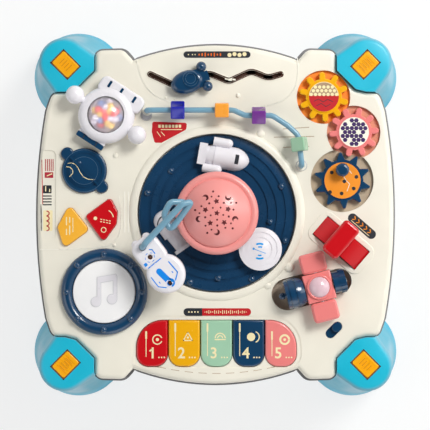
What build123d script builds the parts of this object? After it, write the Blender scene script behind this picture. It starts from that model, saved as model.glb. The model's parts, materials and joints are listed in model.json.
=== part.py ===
from build123d import *
import os
from math import asin, cos, radians, sin, sqrt

# Musical activity table for a child, in millimetres.
# Origin: on the floor under the middle of the table. +X right, +Y away from the child, +Z up.

# ---------------------------------------------------------------- driving dimensions
PLATE_HALF_X = 200.0        # middle of the table to the crown of a side edge
PLATE_HALF_Y = 190.0        # middle of the table to the crown of the front or rear edge
PLATE_TOP = 210.0           # height of the play surface
SHELL_HEIGHT = 22.0         # top shell, rim to play surface
SHELL_WALL = 3.0
SHELL_EDGE_RADIUS = 6.0
TRAY_HEIGHT = 22.0          # bottom tray, floor to seam
TRAY_WALL = 2.5
SEAM_LIP = 1.8              # how far the tray's flange stands proud of the shell
SEAM_FLANGE = 2.0           # thickness of that flange
CROWN_RISE = 17.0           # front and rear edges, cusp to crown
SIDE_BULGE = 10.0           # side edges, end to crown
CUSP_X = 92.5               # where a front or rear arc ends in a cusp
LOBE_X = 135.5              # where the corner recess starts on the front or rear edge
LOBE_Y = 137.0              # where it starts on a side edge
SIDE_ARC_HALF = 116.5       # half length of a side arc
LOBE_DROP = 6.0             # crown of the rear edge to the rear of a lobe
LOBE_DEPTH = 23.0           # start of a corner recess to the rear of the lobe beside it

LEG_TOP_REACH = 234.0       # middle of the table to the axis of a leg's cap, on the diagonal
LEG_TOP_RADIUS = 33.0
LEG_FOOT_REACH = 243.0      # the same at the floor, where the leg is widest
LEG_FOOT_RADIUS = 57.0
LEG_WALL = 3.0
CAP_RISE = 3.0              # leg cap above the play surface
CAP_EDGE_RADIUS = 14.0
FOOT_PAD_RADIUS = 14.0
FOOT_PAD_HEIGHT = 3.0
BASE_CAP_THICKNESS = 3.0
TENON_WIDTH = 26.0          # tongue of the tray that each leg slides over
TENON_HEIGHT = 14.0
TENON_LENGTH = 24.0
LATCH_LENGTH = 25.0
LATCH_WIDTH = 19.0
LATCH_HEIGHT = 11.0
LATCH_TRAVEL = 2.5
LATCH_PROUD = 1.5           # latch button above its cap
LATCH_SETBACK = 27.3        # flat of the corner recess to the middle of the latch

TABLE_CENTRE = (1.5, 1.5)   # axis of the turntable and of the lamp
TURNTABLE_RADIUS = 88.0
TURNTABLE_THICKNESS = 5.0
TURNTABLE_SINK = 3.0        # turntable surface below the play surface
WELL_WALL_OUTER = 98.5      # raised ring round the turntable
WELL_WALL_RISE = 3.0
POST_RADIUS = 8.0
BUSH_RADIUS = 12.0
LAMP_RADIUS = 46.0
LAMP_LEVEL = 19.0           # lamp rim above the play surface
LAMP_RIM_HEIGHT = 9.0
LAMP_GROOVE_RADIUS = 37.0
LAMP_DOME_RISE = 17.0
LAMP_WALL = 2.4

GEAR_TEETH = 10
GEAR_THICKNESS = 8.0
GEAR_SINK = 5.0             # depth of the gear wells
ROUND_TIP_RADIUS = 27.8
ROUND_ROOT_RADIUS = 20.2
STAR_TIP_RADIUS = 32.0
STAR_ROOT_RADIUS = 23.5
YELLOW_GEAR = (121.0, 131.5)
PINK_GEAR = (154.7, 92.0)
NAVY_GEAR = (141.8, 38.0)
ROUND_WELL_RADIUS = 30.0
STAR_WELL_RADIUS = 35.3

WIRE_RADIUS = 2.7
WIRE_LEVEL = 13.0           # axis of the bead wire above the play surface
BEAD_SIZE = 15.6

KEY_PITCH = 36.1
KEY_GAP = 1.0
KEY_REAR = -118.5           # rear end of the visible part of the keys
KEY_FRONT = -170.4
KEY_HEIGHT = 11.0
KEY_PROUD = 1.0
KEY_HINGE_Y = -114.0
KEY_PIN_RADIUS = 1.5

DRUM_CENTRE = (-124.5, -86.5)
DRUM_OUTER = 48.6
DRUM_INNER = 35.3
DRUM_TRAVEL = 1.5

SWITCH_TRAVEL = 9.0
RUNNING_GAP = 0.4           # between moving pieces and what they move in
SHAFT_GAP = 0.06            # round a shaft in its bore
SEAT_GAP = 0.1              # under a piece that turns on a seat

SHELL_BOTTOM = PLATE_TOP - SHELL_HEIGHT
HOUSING_BOTTOM = SHELL_BOTTOM - TRAY_HEIGHT
CEILING = PLATE_TOP - SHELL_WALL
WELL_TO_FLAT = 1.2          # corner recess outside the yellow gear's well
FLAT_REACH = sum(YELLOW_GEAR) / sqrt(2) + ROUND_WELL_RADIUS + WELL_TO_FLAT  # table's middle to a recess's flat
LATCH_REACH = FLAT_REACH + LATCH_SETBACK

PARTS = {}


# ---------------------------------------------------------------- helpers
def disc(x, y, z, radius, height):
    """Upright cylinder that stands on height z."""
    return Pos(x, y, z) * Cylinder(radius, height, align=(Align.CENTER, Align.CENTER, Align.MIN))


def block(x, y, z, size_x, size_y, size_z, turn=0.0):
    """Box that stands on height z, turned about its own upright axis."""
    box = Box(size_x, size_y, size_z, align=(Align.CENTER, Align.CENTER, Align.MIN))
    return Pos(x, y, z) * Rot(0, 0, turn) * box


def rounded_block(x, y, z, size_x, size_y, size_z, corner, turn=0.0):
    """Box with rounded upright edges that stands on height z."""
    profile = RectangleRounded(size_x, size_y, corner)
    return Pos(x, y, z) * Rot(0, 0, turn) * extrude(profile, size_z)


def ring(x, y, z, outer, inner, height):
    """Upright tube that stands on height z."""
    profile = Circle(outer) - Circle(inner)
    return Pos(x, y, z) * extrude(profile, height)


def rod(start, end, radius):
    """Round bar from one point to another."""
    path = Line(start, end)
    return sweep(Plane(path @ 0, z_dir=path % 0) * Circle(radius), path=path)


def cap_arc(radius, level, rise):
    """Arc of a spherical cap, from its edge at a height up to its top on the axis."""
    sphere = (radius ** 2 + rise ** 2) / (2 * rise)
    half = asin(radius / sphere) / 2
    middle = (sphere * sin(half), level + rise - sphere * (1 - cos(half)))
    return ThreePointArc((radius, level), middle, (0, level + rise))


def top_edges(solid):
    """Edges of the highest flat face."""
    return solid.faces().sort_by(Axis.Z)[-1].edges()


def mirrored_four_ways(edges):
    """A quarter of an outline and its three mirror images."""
    half = edges + [mirror(edge, Plane.YZ) for edge in edges]
    return half + [mirror(edge, Plane.XZ) for edge in half]


def on_diagonal(reach, side_x, side_y):
    """Point on a corner's diagonal at a distance from the middle of the table."""
    return (side_x * reach / sqrt(2), side_y * reach / sqrt(2))


# ---------------------------------------------------------------- housing outline
def quarter_outline():
    """Edge of the play surface from the rear crown to the right crown."""
    cusp = (CUSP_X, PLATE_HALF_Y - CROWN_RISE)
    side_end = (PLATE_HALF_X - SIDE_BULGE, SIDE_ARC_HALF)
    diagonal_sum = FLAT_REACH * sqrt(2)
    recess_rear = (LOBE_X, diagonal_sum - LOBE_X)
    recess_side = (diagonal_sum - LOBE_Y - 3, LOBE_Y + 3)
    lobe_rear = (PLATE_HALF_Y - LOBE_DROP + recess_rear[1] + LOBE_DEPTH) / 2
    rear_arc_mid = (CUSP_X / 2, PLATE_HALF_Y - CROWN_RISE / 4)
    side_arc_mid = (PLATE_HALF_X - SIDE_BULGE / 4, SIDE_ARC_HALF / 2)
    rear_arc = ThreePointArc((0, PLATE_HALF_Y), rear_arc_mid, cusp)
    lobes = FilletPolyline(
        cusp,
        (CUSP_X + 11, lobe_rear + 1),
        (LOBE_X, lobe_rear),
        recess_rear,
        recess_side,
        (recess_side[0] + 12, LOBE_Y),
        (PLATE_HALF_X - SIDE_BULGE - 7, LOBE_Y),
        side_end,
        radius=[10, 9, 2, 5, 6, 10],
    )
    side_arc = ThreePointArc(side_end, side_arc_mid, (PLATE_HALF_X, 0))
    return [rear_arc, *lobes.edges(), side_arc]


def housing_face(grow=0.0):
    """Outline of the play surface as a face, grown or shrunk all round."""
    face = make_face(Wire.combine(mirrored_four_ways(quarter_outline()))[0].edges())
    if grow:
        face = offset(face, grow, kind=Kind.INTERSECTION)
    return face


def housing_prism(grow, bottom, height):
    return Pos(0, 0, bottom) * extrude(housing_face(grow), height)


# ---------------------------------------------------------------- plan of the play surface
KEY_CENTRE_X = 1.0
KEY_COUNT = 5
KEY_TIP_RADIUS = 14.0
KEY_ARCH_RADIUS = 30.0
KEY_WIDTH = KEY_PITCH - KEY_GAP
GEAR_WELLS = [(YELLOW_GEAR, ROUND_WELL_RADIUS), (PINK_GEAR, ROUND_WELL_RADIUS), (NAVY_GEAR, STAR_WELL_RADIUS)]
TRACK_WIDTH = 4.6
TRACK_POINTS = [(-73, 157), (-47, 145), (-7, 158), (15, 149), (40, 160.5), (59, 153), (73, 157)]
TRACK_RADII = [12, 14, 10, 12, 16]
SHIP_SPOT = (-32.5, 149.7)
SHIP_TURN = 18.0            # slope of the track under the slider, degrees
HELMET_SPOT = (-121.5, 110.5)
PEG_RADIUS = 5.0
PEG_HEIGHT = 10.0
LEVER_SPOT = (140.7, -31.8)
LEVER_TURN = -40.5
LEVER_REST = -4.5           # lean of the lever's handle as it lies, degrees
LEVER_DRUM_RADIUS = 45.0
LEVER_AXLE_DEPTH = 34.0     # lever axle below the play surface
LEVER_WIDTH = 25.5
LEVER_GAP = 0.9             # beside the lever's drum
PAD_HEIGHT = 1.2            # pads on the lever's drum
FRAME_RISE = 1.0            # raised frame round the lever
LEVER_PIN_RADIUS = 2.5
JOINT_SPOT = (115.0, -80.5)
JOINT_TURN = 14.5
JOINT_SIZE = 32.0
JOINT_HEIGHT = 18.0
JOINT_AXLE_RADIUS = 2.0
ROLLER_LEVEL = 8.0          # roller axle above the play surface
LEFT_ROLLER_RADIUS = 17.0
LEFT_ROLLER_LENGTH = 21.0
LEFT_WELL_REACH = 35.5
RIGHT_ROLLER_RADIUS = 13.0
RIGHT_ROLLER_LENGTH = 14.0
RIGHT_WELL_REACH = 24.5
ROLLER_WELL_GAP = 0.8
ROLLER_WELL_DEPTH = 11.0
SWITCH_SPOT = (132.7, -129.4)
SWITCH_TURN = 45.0
SWITCH_LENGTH = 22.0
SWITCH_WIDTH = 11.0
WIRE_ENDS = [(-76.5, 116.0), (96.0, 54.5)]
DRUM_STEM_RADIUS = 6.0
PLANET_SPOT = (-146.8, 49.0)
PLANET_RADIUS = 25.0
PLANET_LOBES = [(-166.0, 68.0), (-127.5, 31.0)]
PLANET_LOBE_RADIUS = 7.0
YELLOW_CORNERS = [(-177.0, -14.0), (-169.5, -38.0), (-141.0, -17.0), (-163.5, 11.5)]
RED_CORNERS = [(-146.0, -2.0), (-125.5, -31.0), (-111.0, -11.0), (-109.5, 3.0), (-117.5, 19.0)]
SCREW_REAR = PLATE_HALF_Y - 26
SCREW_FRONT = PLATE_HALF_Y - 30
SCREW_SIDE = PLATE_HALF_X - 12
SCREW_SPOTS = [
    (88, SCREW_REAR), (-88, SCREW_REAR), (SCREW_SIDE, 20), (-SCREW_SIDE, 20),
    (109, -SCREW_FRONT), (-109, -SCREW_FRONT),
]
KEY_POCKET_MARGIN = 5.0     # shallow recess round the keys
RELIEF_DEPTH = 0.8          # of that recess and of the label panel's
LABEL_PANEL = (-187.0, 21.8, 16.0, 100.0)
TRACK_LIP = 2.2             # raised border of the wavy track
TRACK_LIP_RISE = 0.7
BUMPS = [                   # small domes and craters: place and radius
    ((82.5, -59.2), 6.7), ((58.5, -79.6), 5.0), ((-112.1, 65.9), 3.4), ((-113.3, -34.5), 2.6),
    ((25.2, 133.2), 3.2), ((50.3, 90.3), 5.6), ((-55.4, 130.5), 2.2), ((-45.4, 129.5), 1.8),
]
SCREW_RADIUS = 1.2
SCREW_HEAD_RADIUS = 3.2
SCREW_HEAD_HEIGHT = 2.4
BOSS_RADIUS = 4.0


def key_x(index):
    return KEY_CENTRE_X + (index - (KEY_COUNT - 1) / 2) * KEY_PITCH


def key_face(index, grow=0.0):
    """Plan of one key: round front corners, and the arch over the outer two."""
    left = key_x(index) - KEY_WIDTH / 2 - grow
    right = key_x(index) + KEY_WIDTH / 2 + grow
    rear = KEY_REAR + grow
    front = KEY_FRONT - grow
    arch = KEY_ARCH_RADIUS + grow
    tip = KEY_TIP_RADIUS + grow
    left_arch = arch if index == 0 else 0
    right_arch = arch if index == KEY_COUNT - 1 else 0
    corners = [(left, rear), (left, front), (right, front), (right, rear)]
    outline = FilletPolyline(*corners, radius=[left_arch, tip, tip, right_arch], close=True)
    return make_face(outline.edges())


def keys_opening():
    face = key_face(0, KEY_GAP * 0.6)
    for index in range(1, KEY_COUNT):
        face = face + key_face(index, KEY_GAP * 0.6)
    return face


def keys_pocket():
    """Shallow recess round the keys, arched over the outer two."""
    half = KEY_COUNT * KEY_PITCH / 2 + KEY_POCKET_MARGIN
    rear = KEY_REAR + KEY_POCKET_MARGIN
    front = KEY_FRONT - KEY_GAP
    arch = KEY_ARCH_RADIUS + KEY_POCKET_MARGIN
    corners = [(-half, rear), (-half, front), (half, front), (half, rear)]
    outline = FilletPolyline(*corners, radius=[arch, KEY_TIP_RADIUS, KEY_TIP_RADIUS, arch], close=True)
    return Pos(KEY_CENTRE_X, 0) * make_face(outline.edges())


def track_line():
    return FilletPolyline(*TRACK_POINTS, radius=TRACK_RADII)


def track_face(width):
    """Wavy slot of constant width with round ends."""
    face = trace(track_line(), line_width=width)
    for end in (TRACK_POINTS[0], TRACK_POINTS[-1]):
        face = face + Pos(*end) * Circle(width / 2)
    return face


def planet_face(grow=0.0):
    """Round planet with a lobe of its ring on either side."""
    face = Pos(*PLANET_SPOT) * Circle(PLANET_RADIUS + grow)
    for spot in PLANET_LOBES:
        face = face + Pos(*spot) * Circle(PLANET_LOBE_RADIUS + grow)
    return face


def corner_face(corners, radius, grow=0.0):
    """Polygon with rounded corners."""
    face = Polygon(*corners, align=None)
    face = fillet(face.vertices(), radius)
    return offset(face, grow) if grow else face


def yellow_face(grow=0.0):
    return corner_face(YELLOW_CORNERS, 5.0, grow)


def red_face(grow=0.0):
    return corner_face(RED_CORNERS, 4.0, grow)


def pill(length, width):
    return SlotOverall(length, width)


def joint_place(along=0.0, across=0.0, level=0.0):
    """Place in the frame of the cross joint: along its roller axle, across it, above the plate."""
    return Pos(*JOINT_SPOT, PLATE_TOP + level) * Rot(0, 0, JOINT_TURN) * Pos(along, across, 0)


def roller_well(grow=0.0):
    """The two round-ended wells that the rollers sink into, down from the play surface."""
    wells = []
    spans = [
        (-LEFT_WELL_REACH, LEFT_ROLLER_RADIUS),
        (RIGHT_WELL_REACH, RIGHT_ROLLER_RADIUS),
    ]
    for reach, radius in spans:
        half = radius + ROLLER_WELL_GAP + grow
        wells.append(Pos(reach, 0) * Circle(half) + Pos(reach / 2, 0) * Rectangle(abs(reach), 2 * half))
    return wells[0] + wells[1]


# ---------------------------------------------------------------- housing
def top_shell():
    """The moulded play surface: thin walls, wells and openings for everything that moves."""
    outer = housing_prism(0, SHELL_BOTTOM, SHELL_HEIGHT)
    outer = fillet(top_edges(outer), SHELL_EDGE_RADIUS)
    shell = outer - housing_prism(-SHELL_WALL, SHELL_BOTTOM, SHELL_HEIGHT - SHELL_WALL)
    cx, cy = TABLE_CENTRE
    well_radius = TURNTABLE_RADIUS + 1.0
    well_floor = PLATE_TOP - TURNTABLE_SINK - TURNTABLE_THICKNESS - 2.0
    shell += disc(cx, cy, well_floor - 2, well_radius + SHELL_WALL, PLATE_TOP - well_floor)
    shell += Pos(cx, cy, PLATE_TOP) * turntable_wall(well_radius)
    shell += surface_relief()
    shell -= disc(cx, cy, well_floor, well_radius, 30)
    gear_floor = PLATE_TOP - GEAR_SINK
    for (x, y), radius in GEAR_WELLS:
        shell += disc(x, y, gear_floor - 2, radius + WELL_TO_FLAT - 0.1, 3)
    for (x, y), radius in GEAR_WELLS:
        shell -= disc(x, y, gear_floor, radius, 30)
    pocket_floor = PLATE_TOP - ROLLER_WELL_DEPTH
    place = Pos(*JOINT_SPOT, pocket_floor) * Rot(0, 0, JOINT_TURN)
    shell += Pos(0, 0, -2) * place * extrude(roller_well(2), ROLLER_WELL_DEPTH - 1)
    shell -= place * extrude(roller_well(), 30)
    x, y, *size = LABEL_PANEL
    shell -= Pos(x, y, PLATE_TOP - RELIEF_DEPTH) * extrude(RectangleRounded(*size, 5), 5)
    shell -= Pos(0, 0, PLATE_TOP - RELIEF_DEPTH) * extrude(keys_pocket(), 5)
    openings = [
        keys_opening(),
        track_face(TRACK_WIDTH),
        planet_face(RUNNING_GAP),
        yellow_face(RUNNING_GAP),
        red_face(RUNNING_GAP),
        Pos(*DRUM_CENTRE) * Circle(DRUM_STEM_RADIUS + RUNNING_GAP),
        Pos(*SWITCH_SPOT) * Rot(0, 0, SWITCH_TURN) * pill(SWITCH_LENGTH, SWITCH_WIDTH),
        Pos(cx, cy) * Circle(POST_RADIUS),
    ]
    for face in openings:
        shell -= Pos(0, 0, PLATE_TOP - 20) * extrude(face, 30)
    shell -= lever_place() * lever_clearance()
    for x, y in WIRE_ENDS:
        shell += disc(x, y, PLATE_TOP - 1, 5.5, 3)
        shell -= disc(x, y, CEILING - 1, WIRE_RADIUS + SHAFT_GAP, 10)
    shell += disc(*HELMET_SPOT, PLATE_TOP - 1, PEG_RADIUS, PEG_HEIGHT + 1)
    for index in range(KEY_COUNT + 1):
        x = key_x(index - 0.5)
        shell += block(x, KEY_HINGE_Y, PLATE_TOP - 11, 4, 5, 9)
    shell -= key_pin(SHAFT_GAP / 2)
    for x, y in SCREW_SPOTS:
        shell += disc(x, y, SHELL_BOTTOM - 4, BOSS_RADIUS, SHELL_HEIGHT + 1)
        shell -= disc(x, y, SHELL_BOTTOM - 5, SCREW_RADIUS, 18)
    return shell


def turntable_wall(inner):
    """Soft raised ring round the turntable, with its foot flared into the play surface."""
    outer = WELL_WALL_OUTER
    rise = WELL_WALL_RISE
    section = make_face([
        Line((inner, -1), (inner, rise - 1)),
        ThreePointArc((inner, rise - 1), (inner + 0.3, rise - 0.3), (inner + 1, rise)),
        Line((inner + 1, rise), (outer - 5.5, rise)),
        ThreePointArc((outer - 5.5, rise), (outer - 1.9, rise / 2 + 0.35), (outer, 0)),
        Line((outer, 0), (outer, -1)),
        Line((outer, -1), (inner, -1)),
    ])
    return revolve(Plane.XZ * section, Axis.Z)


def surface_relief():
    """Raised frame of the lever, border of the track, and small domes."""
    frame = extrude(RectangleRounded(76, LEVER_WIDTH + 13, 11), 2 + FRAME_RISE)
    frame = fillet(top_edges(frame), FRAME_RISE * 0.9)
    relief = Pos(*LEVER_SPOT, PLATE_TOP - 2) * Rot(0, 0, LEVER_TURN) * frame
    border = extrude(track_face(TRACK_WIDTH + 2 * TRACK_LIP), 2 + TRACK_LIP_RISE)
    relief += Pos(0, 0, PLATE_TOP - 2) * chamfer(top_edges(border), TRACK_LIP_RISE * 0.6)
    for spot, radius in BUMPS:
        dome = Pos(*spot, PLATE_TOP - radius * 0.5) * Sphere(radius)
        relief += dome - block(*spot, PLATE_TOP - 2 - 3 * radius, 3 * radius, 3 * radius, 3 * radius)
    return relief


def key_pin(grow=0.0):
    """Steel rod that all five keys turn on."""
    half = KEY_COUNT * KEY_PITCH / 2 + 3
    level = PLATE_TOP - 7.5
    start = (KEY_CENTRE_X - half, KEY_HINGE_Y, level)
    return rod(start, (KEY_CENTRE_X + half, KEY_HINGE_Y, level), KEY_PIN_RADIUS + grow)


def lever_place():
    """Middle of the lever's axle, X along the lever's travel."""
    return Pos(*LEVER_SPOT, PLATE_TOP - LEVER_AXLE_DEPTH) * Rot(0, 0, LEVER_TURN)


def lever_clearance():
    """Room for the lever's drum, concentric with its axle."""
    radius = LEVER_DRUM_RADIUS + PAD_HEIGHT + RUNNING_GAP + 0.2
    return Rot(90, 0, 0) * Cylinder(radius, LEVER_WIDTH + 2 * LEVER_GAP)


BAY_SPOT = (-45.0, 0.0)
BAY_LENGTH = 70.0
BAY_WIDTH = 60.0
BAY_HEIGHT = 18.0
DOOR_THICKNESS = 2.4
DOOR_LEDGE = 3.0
SPEAKER_SPOT = (50.0, 30.0)
SPEAKER_RADIUS = 26.0
BOARD_SPOT = (5.0, -62.0)
BOARD_SIZE = (96.0, 44.0, 1.6)
BOARD_LEVEL = 9.0           # board above the tray's floor
STRIP_Y = -142.0
STRIP_LENGTH = 172.0
STRIP_LEVEL = PLATE_TOP - 21.0
TRAY_FLOOR = HOUSING_BOTTOM + TRAY_WALL


def bottom_tray():
    """Lower half of the housing, with the battery bay, towers and the leg tenons."""
    flange = housing_prism(SEAM_LIP, SHELL_BOTTOM - SEAM_FLANGE, SEAM_FLANGE)
    tub = housing_prism(-1, HOUSING_BOTTOM, TRAY_HEIGHT - 1)
    tray = flange + tub
    tray -= housing_prism(-1 - TRAY_WALL, TRAY_FLOOR, TRAY_HEIGHT)
    for side_x in (-1, 1):
        for side_y in (-1, 1):
            x, y = on_diagonal(FLAT_REACH - 5 + TENON_LENGTH / 2, side_x, side_y)
            tray += block(x, y, TENON_LEVEL, TENON_LENGTH + 10, TENON_WIDTH, TENON_HEIGHT,
                          45 * side_x * side_y)
    x, y = BAY_SPOT
    tray += block(x, y, TRAY_FLOOR - 1, BAY_LENGTH, BAY_WIDTH, BAY_HEIGHT + 1)
    tray -= block(x, y, HOUSING_BOTTOM, BAY_LENGTH - 4, BAY_WIDTH - 4, DOOR_THICKNESS)
    inner = (BAY_LENGTH - 4 - 2 * DOOR_LEDGE, BAY_WIDTH - 4 - 2 * DOOR_LEDGE)
    tray -= block(x, y, HOUSING_BOTTOM, *inner, BAY_HEIGHT)
    x, y = SPEAKER_SPOT
    tray += ring(x, y, TRAY_FLOOR - 0.5, SPEAKER_RADIUS + 2.2, SPEAKER_RADIUS + 0.2, 8)
    for step in range(-2, 3):
        tray -= block(x, y + 8 * step, HOUSING_BOTTOM - 1, 30 - 4 * abs(step), 3, 5)
    x, y = BOARD_SPOT
    for side_x in (-1, 1):
        for side_y in (-1, 1):
            spot = (x + side_x * 42, y + side_y * 17)
            tray += disc(*spot, TRAY_FLOOR - 0.5, 3, BOARD_LEVEL + 0.5)
    tray += block(KEY_CENTRE_X, STRIP_Y, TRAY_FLOOR - 0.5, STRIP_LENGTH, 4, STRIP_LEVEL - TRAY_FLOOR + 0.5)
    for x, y in SCREW_SPOTS:
        tray += disc(x, y, HOUSING_BOTTOM, BOSS_RADIUS + 1, SHELL_BOTTOM - 4 - HOUSING_BOTTOM)
        tray -= disc(x, y, HOUSING_BOTTOM - 1, SCREW_HEAD_RADIUS + 0.2, SCREW_HEAD_HEIGHT + 1.2)
        tray -= disc(x, y, HOUSING_BOTTOM - 1, SCREW_RADIUS + 0.4, 30)
    width = LEVER_WIDTH + 12
    cradle = Pos(0, 0, TRAY_FLOOR - 0.5) * extrude(RectangleRounded(10, width, 2), 12)
    cradle -= Pos(0, 0, TRAY_FLOOR - 1) * extrude(Rectangle(20, LEVER_WIDTH + 1), 20)
    tray += Pos(*LEVER_SPOT) * Rot(0, 0, LEVER_TURN) * cradle
    tray -= lever_pin(SHAFT_GAP / 2)
    return tray


def lever_pin(grow=0.0):
    half = LEVER_WIDTH / 2 + 5
    place = lever_place() * Rot(90, 0, 0)
    return place * Cylinder(LEVER_PIN_RADIUS + grow, 2 * half)


TENON_LEVEL = HOUSING_BOTTOM + 3.0


def battery_door():
    x, y = BAY_SPOT
    size = (BAY_LENGTH - 4 - 2 * RUNNING_GAP, BAY_WIDTH - 4 - 2 * RUNNING_GAP)
    door = rounded_block(x, y, HOUSING_BOTTOM, *size, DOOR_THICKNESS - 0.1, 2)
    for step in range(4):
        door -= block(x + 22, y - 9 + 6 * step, HOUSING_BOTTOM - 1, 14, 2, 1.8)
    return door


def screws():
    """Case screws from below, one spare form for all."""
    group = []
    for x, y in SCREW_SPOTS:
        head = disc(x, y, HOUSING_BOTTOM, SCREW_HEAD_RADIUS, SCREW_HEAD_HEIGHT)
        head -= block(x, y, HOUSING_BOTTOM - 1, 3.2, 0.8, 1.8)
        head -= block(x, y, HOUSING_BOTTOM - 1, 0.8, 3.2, 1.8)
        group.append(head + disc(x, y, HOUSING_BOTTOM + 1, SCREW_RADIUS - 0.05, 28))
    return Compound(children=group)


# ---------------------------------------------------------------- legs
CORNERS = {
    "rear_left": (-1, 1),
    "rear_right": (1, 1),
    "front_left": (-1, -1),
    "front_right": (1, -1),
}
CAP_TOP = PLATE_TOP + CAP_RISE
CAP_START = PLATE_TOP - 40.0    # where the flared leg turns into the straight cap
LATCH_BOTTOM = CAP_TOP + LATCH_PROUD - LATCH_HEIGHT
LATCH_POCKET_FLOOR = LATCH_BOTTOM - LATCH_TRAVEL - 6.0
TENON_GAP = 0.15
LEG_GAP = 0.4                   # between a leg and the housing's corner recess
FLARE = [(1.0, 0.0), (0.97, 0.11), (0.72, 0.32), (0.36, 0.60), (0.10, 0.85), (0.0, 1.0)]


def corner_place(side_x, side_y):
    """Frame of a corner: X outward on the diagonal, origin on the floor under the table's middle."""
    angle = {(1, 1): 45, (-1, 1): 135, (-1, -1): 225, (1, -1): 315}[(side_x, side_y)]
    return Rot(0, 0, angle)


def leg_cone(shrink, bottom, top):
    """Flared leg: round sections that narrow and lean inward towards the cap."""
    sections = []
    for share, rise in FLARE:
        radius = LEG_TOP_RADIUS + share * (LEG_FOOT_RADIUS - LEG_TOP_RADIUS) - shrink
        reach = LEG_TOP_REACH + share * (LEG_FOOT_REACH - LEG_TOP_REACH)
        level = bottom + rise * (top - bottom)
        sections.append(Pos(reach, 0, level) * Circle(radius))
    return loft(sections)


def leg_form():
    """Outside of a leg along the +X axis, before it is cut to fit the housing."""
    cap = disc(LEG_TOP_REACH, 0, CAP_START, LEG_TOP_RADIUS, CAP_TOP - CAP_START)
    cap = fillet(top_edges(cap), CAP_EDGE_RADIUS)
    return leg_cone(0, FOOT_PAD_HEIGHT - 1.5, CAP_START) + cap


def leg(side_x, side_y):
    """One hollow leg with its tenon socket, latch window and open foot."""
    bottom = FOOT_PAD_HEIGHT - 1.5
    form = leg_form()
    form -= leg_cone(LEG_WALL, bottom, CAP_START - 12)
    seat_radius = LEG_FOOT_RADIUS - LEG_WALL + 0.6
    form -= disc(LEG_FOOT_REACH, 0, bottom, seat_radius, BASE_CAP_THICKNESS + 0.1)
    socket_end = FLAT_REACH - 5 + TENON_LENGTH + 5 + TENON_GAP
    socket = block(socket_end / 2, 0, TENON_LEVEL - TENON_GAP, socket_end,
                   TENON_WIDTH + 2 * TENON_GAP, TENON_HEIGHT + 2 * TENON_GAP)
    form -= socket
    window = (LATCH_LENGTH + 2 * RUNNING_GAP, LATCH_WIDTH + 2 * RUNNING_GAP)
    form -= rounded_block(LATCH_REACH, 0, LATCH_POCKET_FLOOR, *window, 40, 2.4)
    piece = corner_place(1, 1) * form
    piece -= housing_prism(LEG_GAP, HOUSING_BOTTOM - LEG_GAP, CAP_TOP - HOUSING_BOTTOM + 1)
    flange_bottom = SHELL_BOTTOM - SEAM_FLANGE - LEG_GAP
    piece -= housing_prism(SEAM_LIP + LEG_GAP, flange_bottom, SEAM_FLANGE + 2 * LEG_GAP)
    if side_x < 0:
        piece = mirror(piece, Plane.YZ)
    return mirror(piece, Plane.XZ) if side_y < 0 else piece


def leg_base_caps():
    """Discs that close the feet."""
    group = []
    bottom = FOOT_PAD_HEIGHT - 1.5
    for side in CORNERS.values():
        plate = disc(LEG_FOOT_REACH, 0, bottom, LEG_FOOT_RADIUS - LEG_WALL + 0.5, BASE_CAP_THICKNESS)
        for spot in pad_spots():
            plate -= disc(*spot, bottom - 1, FOOT_PAD_RADIUS, 2.5)
        group.append(corner_place(*side) * plate)
    return Compound(children=group)


def pad_spots():
    """Two rubber pads in each foot, to either side of the diagonal."""
    return [(LEG_FOOT_REACH + 14, 28), (LEG_FOOT_REACH + 14, -28)]


def foot_pads():
    group = []
    for side in CORNERS.values():
        for spot in pad_spots():
            pad = disc(*spot, 0, FOOT_PAD_RADIUS - 0.05, FOOT_PAD_HEIGHT)
            group.append(corner_place(*side) * fillet(pad.edges().sort_by(Axis.Z)[0], 1.0))
    return Compound(children=group)


def latch_button(side_x, side_y):
    """Press button that frees a leg: ribbed top, hollow below for its spring."""
    button = rounded_block(LATCH_REACH, 0, LATCH_BOTTOM, LATCH_LENGTH, LATCH_WIDTH, LATCH_HEIGHT, 2)
    button = fillet(top_edges(button), 1.0)
    for step in range(-2, 3):
        button -= block(LATCH_REACH + 3.6 * step, 0, CAP_TOP + LATCH_PROUD - 0.5, 1, LATCH_WIDTH - 5, 2)
    button -= disc(LATCH_REACH, 0, LATCH_BOTTOM - 1, 4.5, 6)
    return corner_place(side_x, side_y) * button


def springs():
    """Latch springs at their pressed height, and the battery contacts' springs."""
    group = []
    for side in CORNERS.values():
        group.append(corner_place(*side) * ring(LATCH_REACH, 0, LATCH_POCKET_FLOOR, 4.0, 3.2, 10.3))
    x, y = BAY_SPOT
    for step in (-1, 1):
        coil = Pos(x + BAY_LENGTH / 2 - 8, y + 14 * step, HOUSING_BOTTOM + 10) * Rot(0, 90, 0)
        group.append(coil * (Cylinder(4, 6) - Cylinder(3.2, 6)))
    return Compound(children=group)


# ---------------------------------------------------------------- turntable and lamp
WELL_FLOOR = PLATE_TOP - TURNTABLE_SINK - TURNTABLE_THICKNESS - 2.0
POST_COLLAR_RADIUS = 14.0
POST_COLLAR_LEVEL = 12.0        # above the play surface
LAMP_FLOOR = 1.5
BUSH_FLANGE_RADIUS = 17.0
DISH_SPOT = (50.0, -38.5)
DISH_RADIUS = 24.0
DISH_AXLE_RADIUS = 4.0
STUD_SPOTS = [
    (-50.0, 49.0), (-76.5, 24.0), (74.0, 31.5), (61.0, -8.5),
    (77.5, -29.5), (3.0, -71.5), (40.5, -72.5), (-28.5, -76.0),
]
STUD_RADIUS = 3.0
GROOVE_RADII = [56.0, 66.0, 76.0]
GROOVE_HALF = 1.5
GROOVE_DEPTH = 1.2
ROCKET_SPOT = (12.0, 63.5)
ROCKET_TURN = -10.0
ROCKET_RADIUS = 13.5
CAPSULE_SPOT = (-50.0, -17.0)
CAPSULE_TURN = -55.0
CAPSULE_RADIUS = 12.5


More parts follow.
